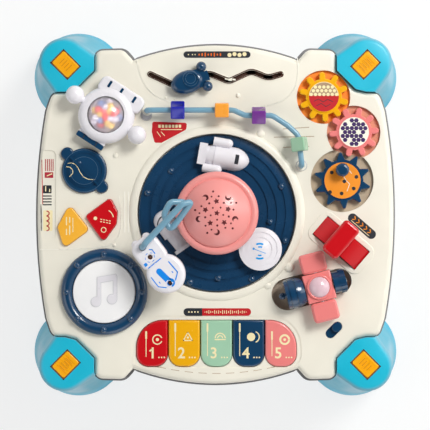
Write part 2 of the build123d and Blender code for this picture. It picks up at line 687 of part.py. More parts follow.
def centre_post():
    """Fixed post of the lamp, seated on the well's floor."""
    cx, cy = TABLE_CENTRE
    post = disc(cx, cy, WELL_FLOOR - 6, POST_RADIUS - 0.05, 6)
    post += disc(cx, cy, WELL_FLOOR, POST_RADIUS, PLATE_TOP + 24 - WELL_FLOOR)
    collar_bottom = PLATE_TOP - TURNTABLE_SINK + 1
    collar_height = PLATE_TOP + POST_COLLAR_LEVEL - collar_bottom
    post += disc(cx, cy, collar_bottom, POST_COLLAR_RADIUS, collar_height)
    return post - disc(cx, cy, WELL_FLOOR - 7, 4, 36)


def turntable_bearing():
    """Flanged plastic bush between the post and the turntable."""
    cx, cy = TABLE_CENTRE
    bush = disc(cx, cy, WELL_FLOOR, BUSH_FLANGE_RADIUS, 2 - SEAT_GAP)
    bush += disc(cx, cy, WELL_FLOOR, BUSH_RADIUS, 2 + TURNTABLE_THICKNESS)
    return bush - disc(cx, cy, WELL_FLOOR - 1, POST_RADIUS + 0.02, 20)


def turntable():
    """Round platter with concentric grooves, small domes, and the dish's boss."""
    cx, cy = TABLE_CENTRE
    top = PLATE_TOP - TURNTABLE_SINK
    bottom = top - TURNTABLE_THICKNESS
    plate = disc(cx, cy, bottom, TURNTABLE_RADIUS, TURNTABLE_THICKNESS)
    plate = fillet(top_edges(plate), 1.5)
    for radius in GROOVE_RADII:
        plate -= ring(cx, cy, top - GROOVE_DEPTH, radius + GROOVE_HALF, radius - GROOVE_HALF, 2)
    for x, y in STUD_SPOTS:
        plate += Pos(x, y, top - 0.9) * Sphere(STUD_RADIUS, arc_size1=0)
    plate += disc(*DISH_SPOT, top - 0.5, 7, 3.5)
    plate += disc(*DISH_SPOT, top - 0.5, DISH_AXLE_RADIUS, 8.5)
    return plate - disc(cx, cy, bottom - 1, BUSH_RADIUS + SHAFT_GAP, 20)


def rocket():
    """Toy rocket that lies on the platter: nose, body, fins and two boosters."""
    level = PLATE_TOP - TURNTABLE_SINK
    radius = ROCKET_RADIUS
    outline = Polyline((-23, 0), (-23, radius - 3), (-14, radius), (8, radius))
    nose = ThreePointArc((8, radius), (20, radius * 0.72), (27, 0))
    half = make_face([*outline.edges(), nose, Line((27, 0), (-23, 0))])
    body = revolve(half, Axis.X)
    body -= Pos(-14, 0, 0) * Rot(0, 90, 0) * (Cylinder(20, 1) - Cylinder(radius - 0.8, 1))
    body -= Pos(0, 0, -20) * Box(80, 60, 40)
    body = Pos(0, 0, -2.5) * body
    body += Pos(-27, 0, 0) * block(0, 0, 0, 9, 2 * radius - 3, 8)
    for offset, push in ((16.0, -8.5), (-15.0, -16.0)):
        booster = Pos(push, offset, 4.8) * Rot(0, 90, 0) * Cylinder(5, 17)
        booster += Pos(push + 8.5, offset, 4.8) * Sphere(5)
        body += booster
    body -= Pos(0, 0, -20) * Box(120, 80, 40)
    body -= block(12, 0, radius - 4.2, 4.5, 11, 5)
    return Pos(*ROCKET_SPOT, level) * Rot(0, 0, ROCKET_TURN) * body


def capsule():
    """Toy space capsule that lies on the platter: round nose, waist and flanged tail."""
    level = PLATE_TOP - TURNTABLE_SINK
    radius = CAPSULE_RADIUS
    outline = Polyline((27, 0), (27, radius - 1), (23, radius - 1), (23, radius - 4), (6, radius - 2.5),
                       (6, radius), (-12, radius))
    nose = ThreePointArc((-12, radius), (-21, radius * 0.7), (-24, 0))
    half = make_face([*outline.edges(), nose, Line((-24, 0), (27, 0))])
    body = Pos(0, 0, -1.5) * revolve(half, Axis.X)
    body -= Pos(0, 0, -20) * Box(120, 80, 40)
    return Pos(*CAPSULE_SPOT, level) * Rot(0, 0, CAPSULE_TURN) * body


def dish():
    """Radar dish: a stepped round cover on a hub that spins on the platter's axle."""
    level = PLATE_TOP - TURNTABLE_SINK + 3.0 + SEAT_GAP
    steps = Polyline((DISH_AXLE_RADIUS + SHAFT_GAP, 0), (9, 0), (9, 2), (DISH_RADIUS - 1, 4), (DISH_RADIUS, 7),
                     (19, 8.2), (19, 7.4), (13, 8.6), (13, 7.8), (8, 9.0))
    crown = cap_arc(8, 9.0, 1.2)
    hub = Polyline((0, 10.2), (0, 5.3), (DISH_AXLE_RADIUS + SHAFT_GAP, 5.3), (DISH_AXLE_RADIUS + SHAFT_GAP, 0))
    face = make_face([*steps.edges(), crown, *hub.edges()])
    return Pos(*DISH_SPOT, level) * revolve(Plane.XZ * face, Axis.Z)


def lamp_base():
    """Floor of the lamp and its hub, which turns on the post."""
    cx, cy = TABLE_CENTRE
    hub_bottom = PLATE_TOP + POST_COLLAR_LEVEL + SEAT_GAP
    floor_level = PLATE_TOP + LAMP_LEVEL
    base = disc(cx, cy, hub_bottom, 12, floor_level + LAMP_FLOOR - hub_bottom)
    base += disc(cx, cy, floor_level, LAMP_RADIUS - LAMP_WALL - 0.1, LAMP_FLOOR)
    return base - disc(cx, cy, hub_bottom - 1, POST_RADIUS + SHAFT_GAP, 20)


def shade_profile(radius, wall):
    """Half section of the shade above its own rim, outside first."""
    groove = LAMP_GROOVE_RADIUS - (LAMP_RADIUS - radius)
    rim = LAMP_RIM_HEIGHT - wall
    top = rim + LAMP_DOME_RISE
    outside = [
        Line((radius, 0), (radius, rim - 5)),
        ThreePointArc((radius, rim - 5), (radius - 1.8, rim - 1.4), (radius - 5.5, rim)),
        Line((radius - 5.5, rim), (groove + 0.6, rim - 0.8)),
        Line((groove + 0.6, rim - 0.8), (groove, rim + 1.6)),
        cap_arc(groove, rim + 1.6, LAMP_DOME_RISE - 1.6),
        Line((0, top), (0, 0)),
        Line((0, 0), (radius, 0)),
    ]
    return make_face(outside)


def star_face(radius):
    points = []
    for step in range(10):
        reach = radius if step % 2 == 0 else radius * 0.5
        angle = radians(36 * step + 90)
        points.append((reach * cos(angle), reach * sin(angle)))
    return Polygon(*points, align=None)


def crescent_face(radius):
    return Circle(radius) - Pos(radius * 0.55, radius * 0.25) * Circle(radius * 0.85)


def lamp_cutouts():
    """Plan of the holes that throw light: stars, crescents and dots on three circles."""
    holes = []
    for angle in range(5):
        turn = Rot(0, 0, 72 * angle + 20)
        holes.append(turn * Pos(13, 0) * star_face(2.6))
        holes.append(turn * Rot(0, 0, 34) * Pos(21, 0) * Rot(0, 0, 70 * angle) * crescent_face(2.4))
        holes.append(turn * Rot(0, 0, 36) * Pos(13.5, 0) * Circle(0.9))
        holes.append(turn * Rot(0, 0, 8) * Pos(24, 0) * Circle(0.9))
    return holes


def lamp_shade():
    """Pink shade: rim, groove and pierced dome, with a socket for the arm."""
    outer = revolve(Plane.XZ * shade_profile(LAMP_RADIUS, 0), Axis.Z)
    inner = revolve(Plane.XZ * shade_profile(LAMP_RADIUS - LAMP_WALL, LAMP_WALL), Axis.Z)
    shade = outer - inner
    for hole in lamp_cutouts():
        shade -= Pos(0, 0, LAMP_RIM_HEIGHT) * extrude(hole, LAMP_DOME_RISE + 5)
    cx, cy = TABLE_CENTRE
    shade = Pos(cx, cy, PLATE_TOP + LAMP_LEVEL) * shade
    x, y, level = ARM_POINTS[0]
    return shade - disc(x, y, level - 0.1, ARM_RADIUS + 0.02, 10)


# ---------------------------------------------------------------- arm and shuttle above the turntable
ARM_RADIUS = 2.6
ARM_POINTS = [
    (-35.5, 13.5, PLATE_TOP + LAMP_LEVEL + LAMP_RIM_HEIGHT - 1.2),
    (-35.5, 13.5, PLATE_TOP + 42),
    (-49.0, 13.5, PLATE_TOP + 46),
    (-56.0, 0.5, PLATE_TOP + 47),
    (-50.0, -18.5, PLATE_TOP + 46),
    (-38.0, -3.0, PLATE_TOP + 49),
    (-25.5, 14.0, PLATE_TOP + 56),
    (-36.0, 11.0, PLATE_TOP + 60),
    (-76.0, -31.0, PLATE_TOP + 55),
    (-79.5, -35.5, PLATE_TOP + 46),
]
ARM_RADII = [5, 7, 8, 5.2, 12, 4.5, 5, 4.5]
SHUTTLE_SPOT = (-62.0, -55.0)
SHUTTLE_TURN = -53.0
SHUTTLE_LEVEL = 26.5            # underside above the play surface


def arm():
    """Bent tube from the lamp's rim to the shuttle, with a thicker end sleeve."""
    path = FilletPolyline(*ARM_POINTS, radius=ARM_RADII)
    tube = sweep(Plane(path @ 0, z_dir=path % 0) * Circle(ARM_RADIUS), path=path)
    return tube + arm_sleeve()


# ---------------------------------------------------------------- shuttle, above the turntable
RIVET_SPOTS = [(-12.4, -2.2), (23.2, -2.4)]


def shuttle():
    """Toy shuttle on the end of the arm: cabin and hull in one, two rivets' seats, side pods."""
    hull = Pos(12.5, 0.5, 0) * extrude(Ellipse(22, 21), 17)
    hull = fillet(top_edges(hull), 5)
    cabin = Pos(-16.5, 0, 0) * extrude(RectangleRounded(37, 32, 11), 16)
    body = hull + fillet(top_edges(cabin), 4)
    for side in (-1, 1):
        body += Pos(-32.5, side * 7.2, 7) * Sphere(5)
    for spot in RIVET_SPOTS:
        body -= Pos(*spot, 15.5) * Cylinder(2.8, 5)
    body -= Pos(-4.5, 1, 17) * Box(1.2, 22, 1.6)
    body = Pos(*SHUTTLE_SPOT, PLATE_TOP + SHUTTLE_LEVEL) * Rot(0, 0, SHUTTLE_TURN) * body
    return body - arm_sleeve(0.02)


def arm_sleeve(grow=0.0):
    """Thick end of the arm, plugged into the shuttle's cabin."""
    x, y, level = ARM_POINTS[-1]
    return disc(x, y, level - 9, 4.2 + grow, 11)


# ---------------------------------------------------------------- figure with the bead window
HELMET_TURN = 57.0
HELMET_RADIUS = 31.5
HELMET_HEIGHT = 19.0
WINDOW_RADIUS = 20.5
WINDOW_FLOOR = 12.0
WINDOW_RISE = 9.0
WINDOW_WALL = 1.3
EAR_REACH = 41.0
EAR_RADIUS = 10.3
EAR_LEVEL = 15.0
RATTLE_RADIUS = 4.4


def helmet_place():
    return Pos(*HELMET_SPOT, PLATE_TOP + SEAT_GAP) * Rot(0, 0, HELMET_TURN - 90)


def helmet_body():
    """Round case that swivels on its peg, with ball hands, a back unit and a belt."""
    bore = PEG_RADIUS + SHAFT_GAP
    side = ThreePointArc((HELMET_RADIUS, 8), (HELMET_RADIUS - 2.3, 15.5), (WINDOW_RADIUS + 2.5, HELMET_HEIGHT))
    lower = Polyline((bore, 0), (HELMET_RADIUS - 4, 0), (HELMET_RADIUS, 8))
    upper = Polyline((WINDOW_RADIUS + 2.5, HELMET_HEIGHT), (WINDOW_RADIUS, HELMET_HEIGHT),
                     (WINDOW_RADIUS, WINDOW_FLOOR), (0, WINDOW_FLOOR), (0, PEG_HEIGHT + 0.5),
                     (bore, PEG_HEIGHT + 0.5), (bore, 0))
    case = revolve(Plane.XZ * make_face([*lower.edges(), side, *upper.edges()]), Axis.Z)
    unit = Pos(1.5, 28, 2) * extrude(RectangleRounded(55, 20, 7), 13)
    unit = fillet(top_edges(unit), 3)
    unit -= disc(0, 0, 0, HELMET_RADIUS - 3, 40)
    for x in (-15, 0, 17):
        unit -= block(x, 31, 14.3, 3, 8, 2)
    case += unit
    case += Pos(0, -HELMET_RADIUS + 0.5, 3) * extrude(RectangleRounded(33, 10, 2.5), 8)
    for side_x in (-1, 1):
        case += Pos(side_x * 33, 0, 12) * Rot(0, 90, 0) * Cylinder(4, 12)
        case += Pos(side_x * EAR_REACH, 0, EAR_LEVEL) * Sphere(EAR_RADIUS)
    case -= Pos(0, 0, WINDOW_FLOOR) * extrude(Circle(WINDOW_RADIUS), 30)
    return helmet_place() * case


def dome_section(radius, rise):
    arc = cap_arc(radius, HELMET_HEIGHT, rise)
    sides = Polyline((0, HELMET_HEIGHT + rise), (0, WINDOW_FLOOR), (radius, WINDOW_FLOOR),
                     (radius, HELMET_HEIGHT))
    return revolve(Plane.XZ * make_face([arc, *sides.edges()]), Axis.Z)


def helmet_dome():
    """Clear window over the loose beads."""
    outer = dome_section(WINDOW_RADIUS - 0.1, WINDOW_RISE)
    inner = dome_section(WINDOW_RADIUS - 0.1 - WINDOW_WALL, WINDOW_RISE - WINDOW_WALL)
    return helmet_place() * (outer - inner)


def helmet_beads():
    """Loose rattle beads that lie on the window's floor."""
    group = []
    level = WINDOW_FLOOR + RATTLE_RADIUS + 0.05
    spots = [(0, 0)]
    for step in range(6):
        angle = radians(60 * step)
        spots.append((12 * cos(angle), 12 * sin(angle)))
    for x, y in spots:
        group.append(helmet_place() * Pos(x, y, level) * Sphere(RATTLE_RADIUS))
    return Compound(children=group)


# ---------------------------------------------------------------- bead wire
WIRE_RUN = [(-76.5, 116.0), (20.0, 116.0), (33.0, 110.0), (63.0, 110.0), (80.0, 99.0), (92.0, 88.0), (96.0, 54.5)]
WIRE_RUN_RADII = [6, 14, 14, 12, 14, 12, 6]
BEADS = {
    "blue": (-42.0, 116.0, 0.0, 33.0),
    "orange": (7.0, 116.0, 0.0, 8.0),
    "purple": (48.0, 110.0, 0.0, 24.0),
    "mint": (93.2, 78.0, -83.2, 20.0),
}
BEAD_BORE_GAP = 0.6


def bead_wire():
    """Bent tube on two feet that the four cubes slide along."""
    level = PLATE_TOP + WIRE_LEVEL
    foot = CEILING + 0.5
    points = [(*WIRE_RUN[0], foot)]
    points += [(x, y, level) for x, y in WIRE_RUN]
    points.append((*WIRE_RUN[-1], foot))
    path = FilletPolyline(*points, radius=WIRE_RUN_RADII)
    return sweep(Plane(path @ 0, z_dir=path % 0) * Circle(WIRE_RADIUS), path=path)


def bead(color):
    """Rounded cube, bored along the wire and turned a little about it."""
    x, y, heading, roll = BEADS[color]
    cube = fillet(Box(BEAD_SIZE, BEAD_SIZE, BEAD_SIZE).edges(), 1.6)
    cube -= Rot(0, 90, 0) * Cylinder(WIRE_RADIUS + BEAD_BORE_GAP, BEAD_SIZE + 2)
    return Pos(x, y, PLATE_TOP + WIRE_LEVEL) * Rot(0, 0, heading) * Rot(roll, 0, 0) * cube


# ---------------------------------------------------------------- gears
LINER_THICKNESS = 1.0
SPINDLE_RADIUS = 3.0
ROUND_TOOTH_WIDTH = 6.6
GEARS = {
    "yellow": (YELLOW_GEAR, -49.7),
    "pink": (PINK_GEAR, -67.7),
    "navy": (NAVY_GEAR, -85.7),
}
GEAR_BOTTOM = PLATE_TOP - GEAR_SINK + LINER_THICKNESS + SEAT_GAP


def gear_wells():
    """Coloured liners of the three gear wells, each with its spindle."""
    floor = PLATE_TOP - GEAR_SINK
    group = []
    taken = None
    for (x, y), radius in reversed(GEAR_WELLS):
        liner = disc(x, y, floor, radius - 0.1, LINER_THICKNESS)
        spindle = disc(x, y, floor, SPINDLE_RADIUS, LINER_THICKNESS + 6)
        if taken:
            liner -= disc(*taken, 50)
        group.append(liner + spindle)
        taken = (x, y, floor - 5, radius - 0.05)
    return Compound(children=group)


def round_tooth():
    start = ROUND_ROOT_RADIUS - 5
    length = ROUND_TIP_RADIUS - start
    return Pos(start + length / 2, 0) * SlotOverall(length, ROUND_TOOTH_WIDTH)


def star_tooth():
    root = STAR_ROOT_RADIUS - 1.5
    points = [(root, -5.0), (STAR_TIP_RADIUS - 0.6, -1.3), (STAR_TIP_RADIUS - 0.6, 1.3), (root, 5.0)]
    return Polygon(*points, align=None)


def gear(color):
    """Ten-tooth toy gear with a raised picture disc; the navy one has a finger knob."""
    spot, phase = GEARS[color]
    star = color == "navy"
    root = STAR_ROOT_RADIUS if star else ROUND_ROOT_RADIUS
    tooth = star_tooth() if star else round_tooth()
    face = Circle(root)
    for step in range(GEAR_TEETH):
        face = face + Rot(0, 0, 360 / GEAR_TEETH * step) * tooth
    wheel = extrude(face, GEAR_THICKNESS)
    wheel = chamfer(top_edges(wheel), 0.8)
    plate_radius = root - 2.6
    wheel += disc(0, 0, GEAR_THICKNESS - 0.5, plate_radius, 1.3)
    if star:
        wheel += disc(-11.5, 0, GEAR_THICKNESS, 4.5, 8)
        knob = disc(-11.5, 0, GEAR_THICKNESS + 6, 7.5, 8)
        wheel += fillet(top_edges(knob), 3.5)
    wheel -= disc(0, 0, -1, SPINDLE_RADIUS + SHAFT_GAP, 7.2)
    return Pos(*spot, GEAR_BOTTOM) * Rot(0, 0, phase) * wheel


# ---------------------------------------------------------------- slider on the wavy track
def ship_slider():
    """Small spaceship whose stem runs in the track and is held from below."""
    hull = extrude(Ellipse(19, 13.2), 12)
    hull = fillet(top_edges(hull), 7)
    for side in (-1, 1):
        hull += Pos(20, side * 11.5, 6.5) * Sphere(5.8)
        hull += Pos(13, side * 8, 6) * Box(14, 5, 5)
    hull += Pos(20, 0, 6) * Box(10, 11, 7)
    hull += ring(5, 0, 11, 8.6, 7.0, 1.8)
    hull = Pos(0.4, -2.3, PLATE_TOP + TRACK_LIP_RISE + SEAT_GAP) * hull
    stem = Pos(0, 0, CEILING - 1.6) * extrude(SlotOverall(8, TRACK_WIDTH - 2 * RUNNING_GAP), SHELL_WALL + 4)
    stem += disc(0, 0, CEILING - 1.7, 6, 1.6)
    return Pos(*SHIP_SPOT) * Rot(0, 0, SHIP_TURN) * (hull + stem)


# ---------------------------------------------------------------- keyboard
KEY_BOTTOM = PLATE_TOP + KEY_PROUD - KEY_HEIGHT
KEY_TONGUE_WIDTH = 26.0
KEY_NAMES = ["red", "yellow", "mint", "navy", "pink"]


def key(index):
    """Piano key: rounded front, and a tongue under the shell that turns on the key pin."""
    body = Pos(0, 0, KEY_BOTTOM) * extrude(key_face(index), KEY_HEIGHT)
    body = fillet(top_edges(body), 2.5)
    x = key_x(index)
    rear = KEY_HINGE_Y + 2.5
    length = rear - KEY_REAR + 6
    body += block(x, rear - length / 2, KEY_BOTTOM, KEY_TONGUE_WIDTH, length, 5)
    return body - key_pin(SHAFT_GAP)


def key_contact_strip():
    """Keyboard circuit strip with one rubber dome under each key."""
    strip = block(KEY_CENTRE_X, STRIP_Y, STRIP_LEVEL, STRIP_LENGTH, 10, 1.6)
    for index in range(KEY_COUNT):
        dome = disc(key_x(index), STRIP_Y, STRIP_LEVEL + 1, 4.5, 6.5)
        strip += chamfer(top_edges(dome), 1.5)
    return strip


# ---------------------------------------------------------------- drum
DRUM_STUDS = 8
DRUM_RING_HEIGHT = 8.0


def drum_ring():
    """Round rim with eight domed studs."""
    section = make_face([
        Line((DRUM_INNER, 0), (DRUM_OUTER, 0)),
        Line((DRUM_OUTER, 0), (DRUM_OUTER, 2.5)),
        ThreePointArc((DRUM_OUTER, 2.5), ((DRUM_OUTER + DRUM_INNER) / 2, DRUM_RING_HEIGHT), (DRUM_INNER, 2.5)),
        Line((DRUM_INNER, 2.5), (DRUM_INNER, 0)),
    ])
    rim = Pos(*DRUM_CENTRE, PLATE_TOP) * revolve(Plane.XZ * section, Axis.Z)
    for step in range(DRUM_STUDS):
        angle = radians(360 / DRUM_STUDS * step)
        reach = (DRUM_OUTER + DRUM_INNER) / 2
        x = DRUM_CENTRE[0] + reach * cos(angle)
        y = DRUM_CENTRE[1] + reach * sin(angle)
        rim += Pos(x, y, PLATE_TOP + DRUM_RING_HEIGHT - 0.8) * Sphere(3.0, arc_size1=0)
    return rim


def drum_pad():
    """Milky drum skin that presses down on its stem, with a raised note."""
    bottom = PLATE_TOP + DRUM_TRAVEL + RUNNING_GAP
    pad = Pos(0, 0, bottom) * Cylinder(DRUM_INNER - RUNNING_GAP, 3.4, align=(Align.CENTER, Align.CENTER, Align.MIN))
    pad = fillet(top_edges(pad), 1.2)
    note = Pos(-9, -11) * Circle(5.2) + Pos(9, -8) * Circle(5.2)
    note = note + Pos(-5.6, 2) * Rectangle(3.6, 26) + Pos(12.4, 5) * Rectangle(3.6, 26)
    note = note + Pos(3.4, 15) * Rot(0, 0, 9.5) * Rectangle(21, 6)
    pad += Pos(0, 0, bottom + 3) * extrude(note, 1.2)
    pad += disc(0, 0, CEILING - 2, DRUM_STEM_RADIUS, bottom + 1 - CEILING + 2)
    pad += disc(0, 0, CEILING - 2, DRUM_STEM_RADIUS + 3, 2 - SEAT_GAP)
    return Pos(*DRUM_CENTRE) * pad


# ---------------------------------------------------------------- push buttons
BUTTON_PROUD = 3.5
BUTTON_LIP = 1.8
LIP_THICKNESS = 1.6


def push_button(face, lip_face):
    """Button cap that rises through the shell, held by a lip under it."""
    height = BUTTON_PROUD + SHELL_WALL + 1
    cap = extrude(face, height)
    cap = Pos(0, 0, CEILING - 1) * fillet(top_edges(cap), 1.4)
    lip = extrude(lip_face, LIP_THICKNESS)
    return cap + Pos(0, 0, CEILING - LIP_THICKNESS - SEAT_GAP) * lip


def planet_button():
    """Ringed planet with a stepped rim and a ridge across it."""
    button = push_button(planet_face(), planet_face(BUTTON_LIP))
    x, y = PLANET_SPOT
    top = PLATE_TOP + BUTTON_PROUD
    button -= ring(x, y, top - 0.8, 20.0, 18.6, 2)
    button += disc(x, y, top - 0.5, 16.5, 1.3)
    button += block(x, y, top - 0.5, 44, 2.4, 2.4, -45)
    return button + Pos(x - 5, y + 9, top + 0.5) * Sphere(2.6, arc_size1=0)


def yellow_button():
    return push_button(yellow_face(), yellow_face(BUTTON_LIP))


def red_button():
    return push_button(red_face(), red_face(BUTTON_LIP))


def power_switch():
    """Sliding switch: knob in the slot, plate under the shell."""
    length = SWITCH_LENGTH / 2
    cover = pill(SWITCH_LENGTH + SWITCH_TRAVEL + 5, SWITCH_WIDTH + 3)
    plate = Pos(SWITCH_TRAVEL / 2, 0, CEILING - 2) * extrude(cover, 2 - SEAT_GAP)
    knob = pill(length + 0.6, SWITCH_WIDTH - 2 * RUNNING_GAP)
    knob = extrude(Pos(length / 2 - RUNNING_GAP - 0.5, 0) * knob, SHELL_WALL + 1.8)
    knob = Pos(0, 0, CEILING - 0.5) * chamfer(top_edges(knob), 0.6)
    return Pos(*SWITCH_SPOT) * Rot(0, 0, SWITCH_TURN) * (plate + knob)


# ---------------------------------------------------------------- lever
LEVER_SECTOR = [(-5, -5.5), (5, -5.5), (61, 44), (61, 60), (-61, 60), (-61, 44)]
PAD_REACH = 19.5            # lever's middle to the middle of a pad
PAD_LENGTH = 23.5
PAD_CORNER = 5.5
HANDLE_LENGTH = 43.0
HANDLE_WIDTH = 21.0
HANDLE_HEIGHT = 13.0
HANDLE_OFFSET = 1.2         # handle's middle along its own length from the lever's middle


def lever():
    """Red rocker: a sector of a drum on an axle, with a T handle over it."""
    upright = Rot(90, 0, 0)
    drum = upright * Cylinder(LEVER_DRUM_RADIUS, LEVER_WIDTH)
    sector = extrude(Plane.XZ * Polygon(*LEVER_SECTOR, align=None), LEVER_WIDTH / 2 + 1, both=True)
    drum = drum & sector
    drum -= Pos(0, 0, 20) * Box(34, LEVER_WIDTH - 6, 16)
    skin = upright * Cylinder(LEVER_DRUM_RADIUS + PAD_HEIGHT, LEVER_WIDTH)
    for side in (-1, 1):
        column = extrude(RectangleRounded(PAD_LENGTH, LEVER_WIDTH - 1, PAD_CORNER), LEVER_DRUM_RADIUS)
        drum += skin & (Pos(side * PAD_REACH, 0, 25) * column)
    stem = block(0, HANDLE_OFFSET, LEVER_DRUM_RADIUS - 2, 11, 14, 16)
    bar = rounded_block(0, HANDLE_OFFSET, LEVER_DRUM_RADIUS + 12, HANDLE_WIDTH, HANDLE_LENGTH, HANDLE_HEIGHT, 5)
    bar = fillet(top_edges(bar), 4)
    piece = drum + stem + bar
    piece -= upright * Cylinder(LEVER_PIN_RADIUS + SHAFT_GAP, LEVER_WIDTH + 2)
    return lever_place() * Rot(0, LEVER_REST, 0) * piece


# ---------------------------------------------------------------- cross joint
WING_LEVEL = 13.0
WING_LENGTH = 22.0
WING_WIDTH = 29.0
WING_THICKNESS = 10.0
LENS_RADIUS = 11.3
LENS_RISE = 5.5
ROLLER_START = JOINT_SIZE / 2 + 0.7
WING_START = JOINT_SIZE / 2 + 0.7


def joint_box():
    """Fixed pink hub of the cross, bored for both axles, with the lens seat on top."""
    box = block(0, 0, 0, JOINT_SIZE, JOINT_SIZE, JOINT_HEIGHT)
    box = fillet(top_edges(box), 2)
    box += fillet(top_edges(ring(0, 0, JOINT_HEIGHT - 0.5, 13.8, 11.4, 2.4)), 0.8)
    box -= Pos(0, 0, ROLLER_LEVEL) * Rot(0, 90, 0) * Cylinder(JOINT_AXLE_RADIUS + 0.02, 50)
    box -= Pos(0, 0, WING_LEVEL) * Rot(90, 0, 0) * Cylinder(JOINT_AXLE_RADIUS + 0.02, 50)
    return joint_place() * box


def joint_lens():
    """Pearly domed lens on the hub."""
    section = make_face([
        Line((0, 0), (LENS_RADIUS, 0)),
        Line((LENS_RADIUS, 0), (LENS_RADIUS, 1.5)),
        cap_arc(LENS_RADIUS, 1.5, LENS_RISE),
        Line((0, LENS_RISE + 1.5), (0, 0)),
    ])
    return joint_place(level=JOINT_HEIGHT) * revolve(Plane.XZ * section, Axis.Z)


def left_roller():
    """Bulged barrel with grooves, sunk in its well."""
    start, end = 0, LEFT_ROLLER_LENGTH
    radius = LEFT_ROLLER_RADIUS
    bore = JOINT_AXLE_RADIUS + SHAFT_GAP
    side = ThreePointArc((start, radius - 3.5), (end * 0.55, radius), (end, radius - 1.2))
    lines = Polyline((end, radius - 1.2), (end, bore), (start, bore), (start, radius - 3.5))
    barrel = revolve(make_face([side, *lines.edges()]), Axis.X)
    groove = Rot(0, 90, 0) * (Cylinder(radius + 2, 1) - Cylinder(radius - 1.1, 1))
    barrel -= Pos(end * 0.45, 0, 0) * groove
    barrel -= Pos(end * 0.8, 0, 0) * groove
    hub = Pos(end + 1.5, 0, 0) * Rot(0, 90, 0) * Cylinder(3, 4) + Pos(end + 4.2, 0, 0) * Sphere(3.9)
    barrel += hub - Pos(end, 0, 0) * Rot(0, 90, 0) * Cylinder(bore, 4)
    return joint_place(level=ROLLER_LEVEL) * Rot(0, 0, 180) * Pos(ROLLER_START, 0, 0) * barrel


def right_roller():
    """Smaller roller with a toothed band at its outer end."""
    radius = RIGHT_ROLLER_RADIUS
    length = RIGHT_ROLLER_LENGTH
    drum = Pos(length / 2, 0, 0) * Rot(0, 90, 0) * Cylinder(radius - 0.9, length)
    band = Circle(radius - 1.2)
    for step in range(12):
        band = band + Rot(0, 0, 30 * step) * Pos(radius - 1.8, 0) * Rectangle(3.4, 2.6)
    drum += Pos(length - 7, 0, 0) * Rot(0, 90, 0) * extrude(band, 6)
    drum -= Pos(length / 2, 0, 0) * Rot(0, 90, 0) * Cylinder(JOINT_AXLE_RADIUS + SHAFT_GAP, length + 2)
    return joint_place(level=ROLLER_LEVEL) * Pos(ROLLER_START, 0, 0) * drum


def wing(side):
    """Panel block that rocks on the cross axle."""
    body = Box(WING_WIDTH, WING_LENGTH, WING_THICKNESS)
    body = fillet(body.edges().filter_by(Axis.Z), 4)
    body = chamfer(top_edges(body), 2.2)
    body += Pos(0, -WING_LENGTH / 2 + 1, 0) * Box(14, 2, 8)
    body -= Rot(90, 0, 0) * Cylinder(JOINT_AXLE_RADIUS + SHAFT_GAP, WING_LENGTH + 4)
    middle = WING_START + WING_LENGTH / 2
    return joint_place(level=WING_LEVEL) * Rot(0, 0, 0 if side > 0 else 180) * Pos(0, middle, 0) * body


def pivot_pins():
    """Steel rods of the keys, the lever, the rollers and the wings."""
    roller_left = -(ROLLER_START + LEFT_ROLLER_LENGTH + 1.5)
    roller_right = ROLLER_START + RIGHT_ROLLER_LENGTH + 1.5
    wing_half = WING_START + WING_LENGTH - 1
    roller_rod = rod((roller_left, 0, ROLLER_LEVEL), (roller_right, 0, ROLLER_LEVEL), JOINT_AXLE_RADIUS)
    wing_rod = rod((0, -wing_half, WING_LEVEL), (0, wing_half, WING_LEVEL), JOINT_AXLE_RADIUS)
    return Compound(children=[key_pin(), lever_pin(), joint_place() * roller_rod, joint_place() * wing_rod])


# ---------------------------------------------------------------- electronics
def circuit_boards():
    """Main board on its posts, and the lamp's LED board on top of the centre post."""
    x, y = BOARD_SPOT
    level = TRAY_FLOOR + BOARD_LEVEL
    main = block(x, y, level, *BOARD_SIZE)
    main += block(x - 18, y, level + 1, 20, 16, 3)
    main += block(x + 22, y + 8, level + 1, 12, 8, 5)
    main += disc(x + 36, y - 10, level + 1, 4, 9)
    cx, cy = TABLE_CENTRE
    lamp = disc(cx, cy, PLATE_TOP + 24, 13, 1.6)
    for turn in range(3):
        angle = radians(120 * turn)
        lamp += disc(cx + 7 * cos(angle), cy + 7 * sin(angle), PLATE_TOP + 25, 2, 4)
    return Compound(children=[main, lamp])


def speaker():
    """Round loudspeaker: frame, cone and magnet, face down on the grille."""
    x, y = SPEAKER_SPOT
    body = ring(x, y, TRAY_FLOOR, SPEAKER_RADIUS, SPEAKER_RADIUS - 4, 2)
    cone = Cone(SPEAKER_RADIUS - 1, 12, 9, align=(Align.CENTER, Align.CENTER, Align.MIN))
    hollow = Cone(SPEAKER_RADIUS - 3, 10, 7, align=(Align.CENTER, Align.CENTER, Align.MIN))
    body += Pos(x, y, TRAY_FLOOR + 1) * cone
    body -= Pos(x, y, TRAY_FLOOR + 0.9) * hollow
    return body + disc(x, y, TRAY_FLOOR + 9, 14, 5)


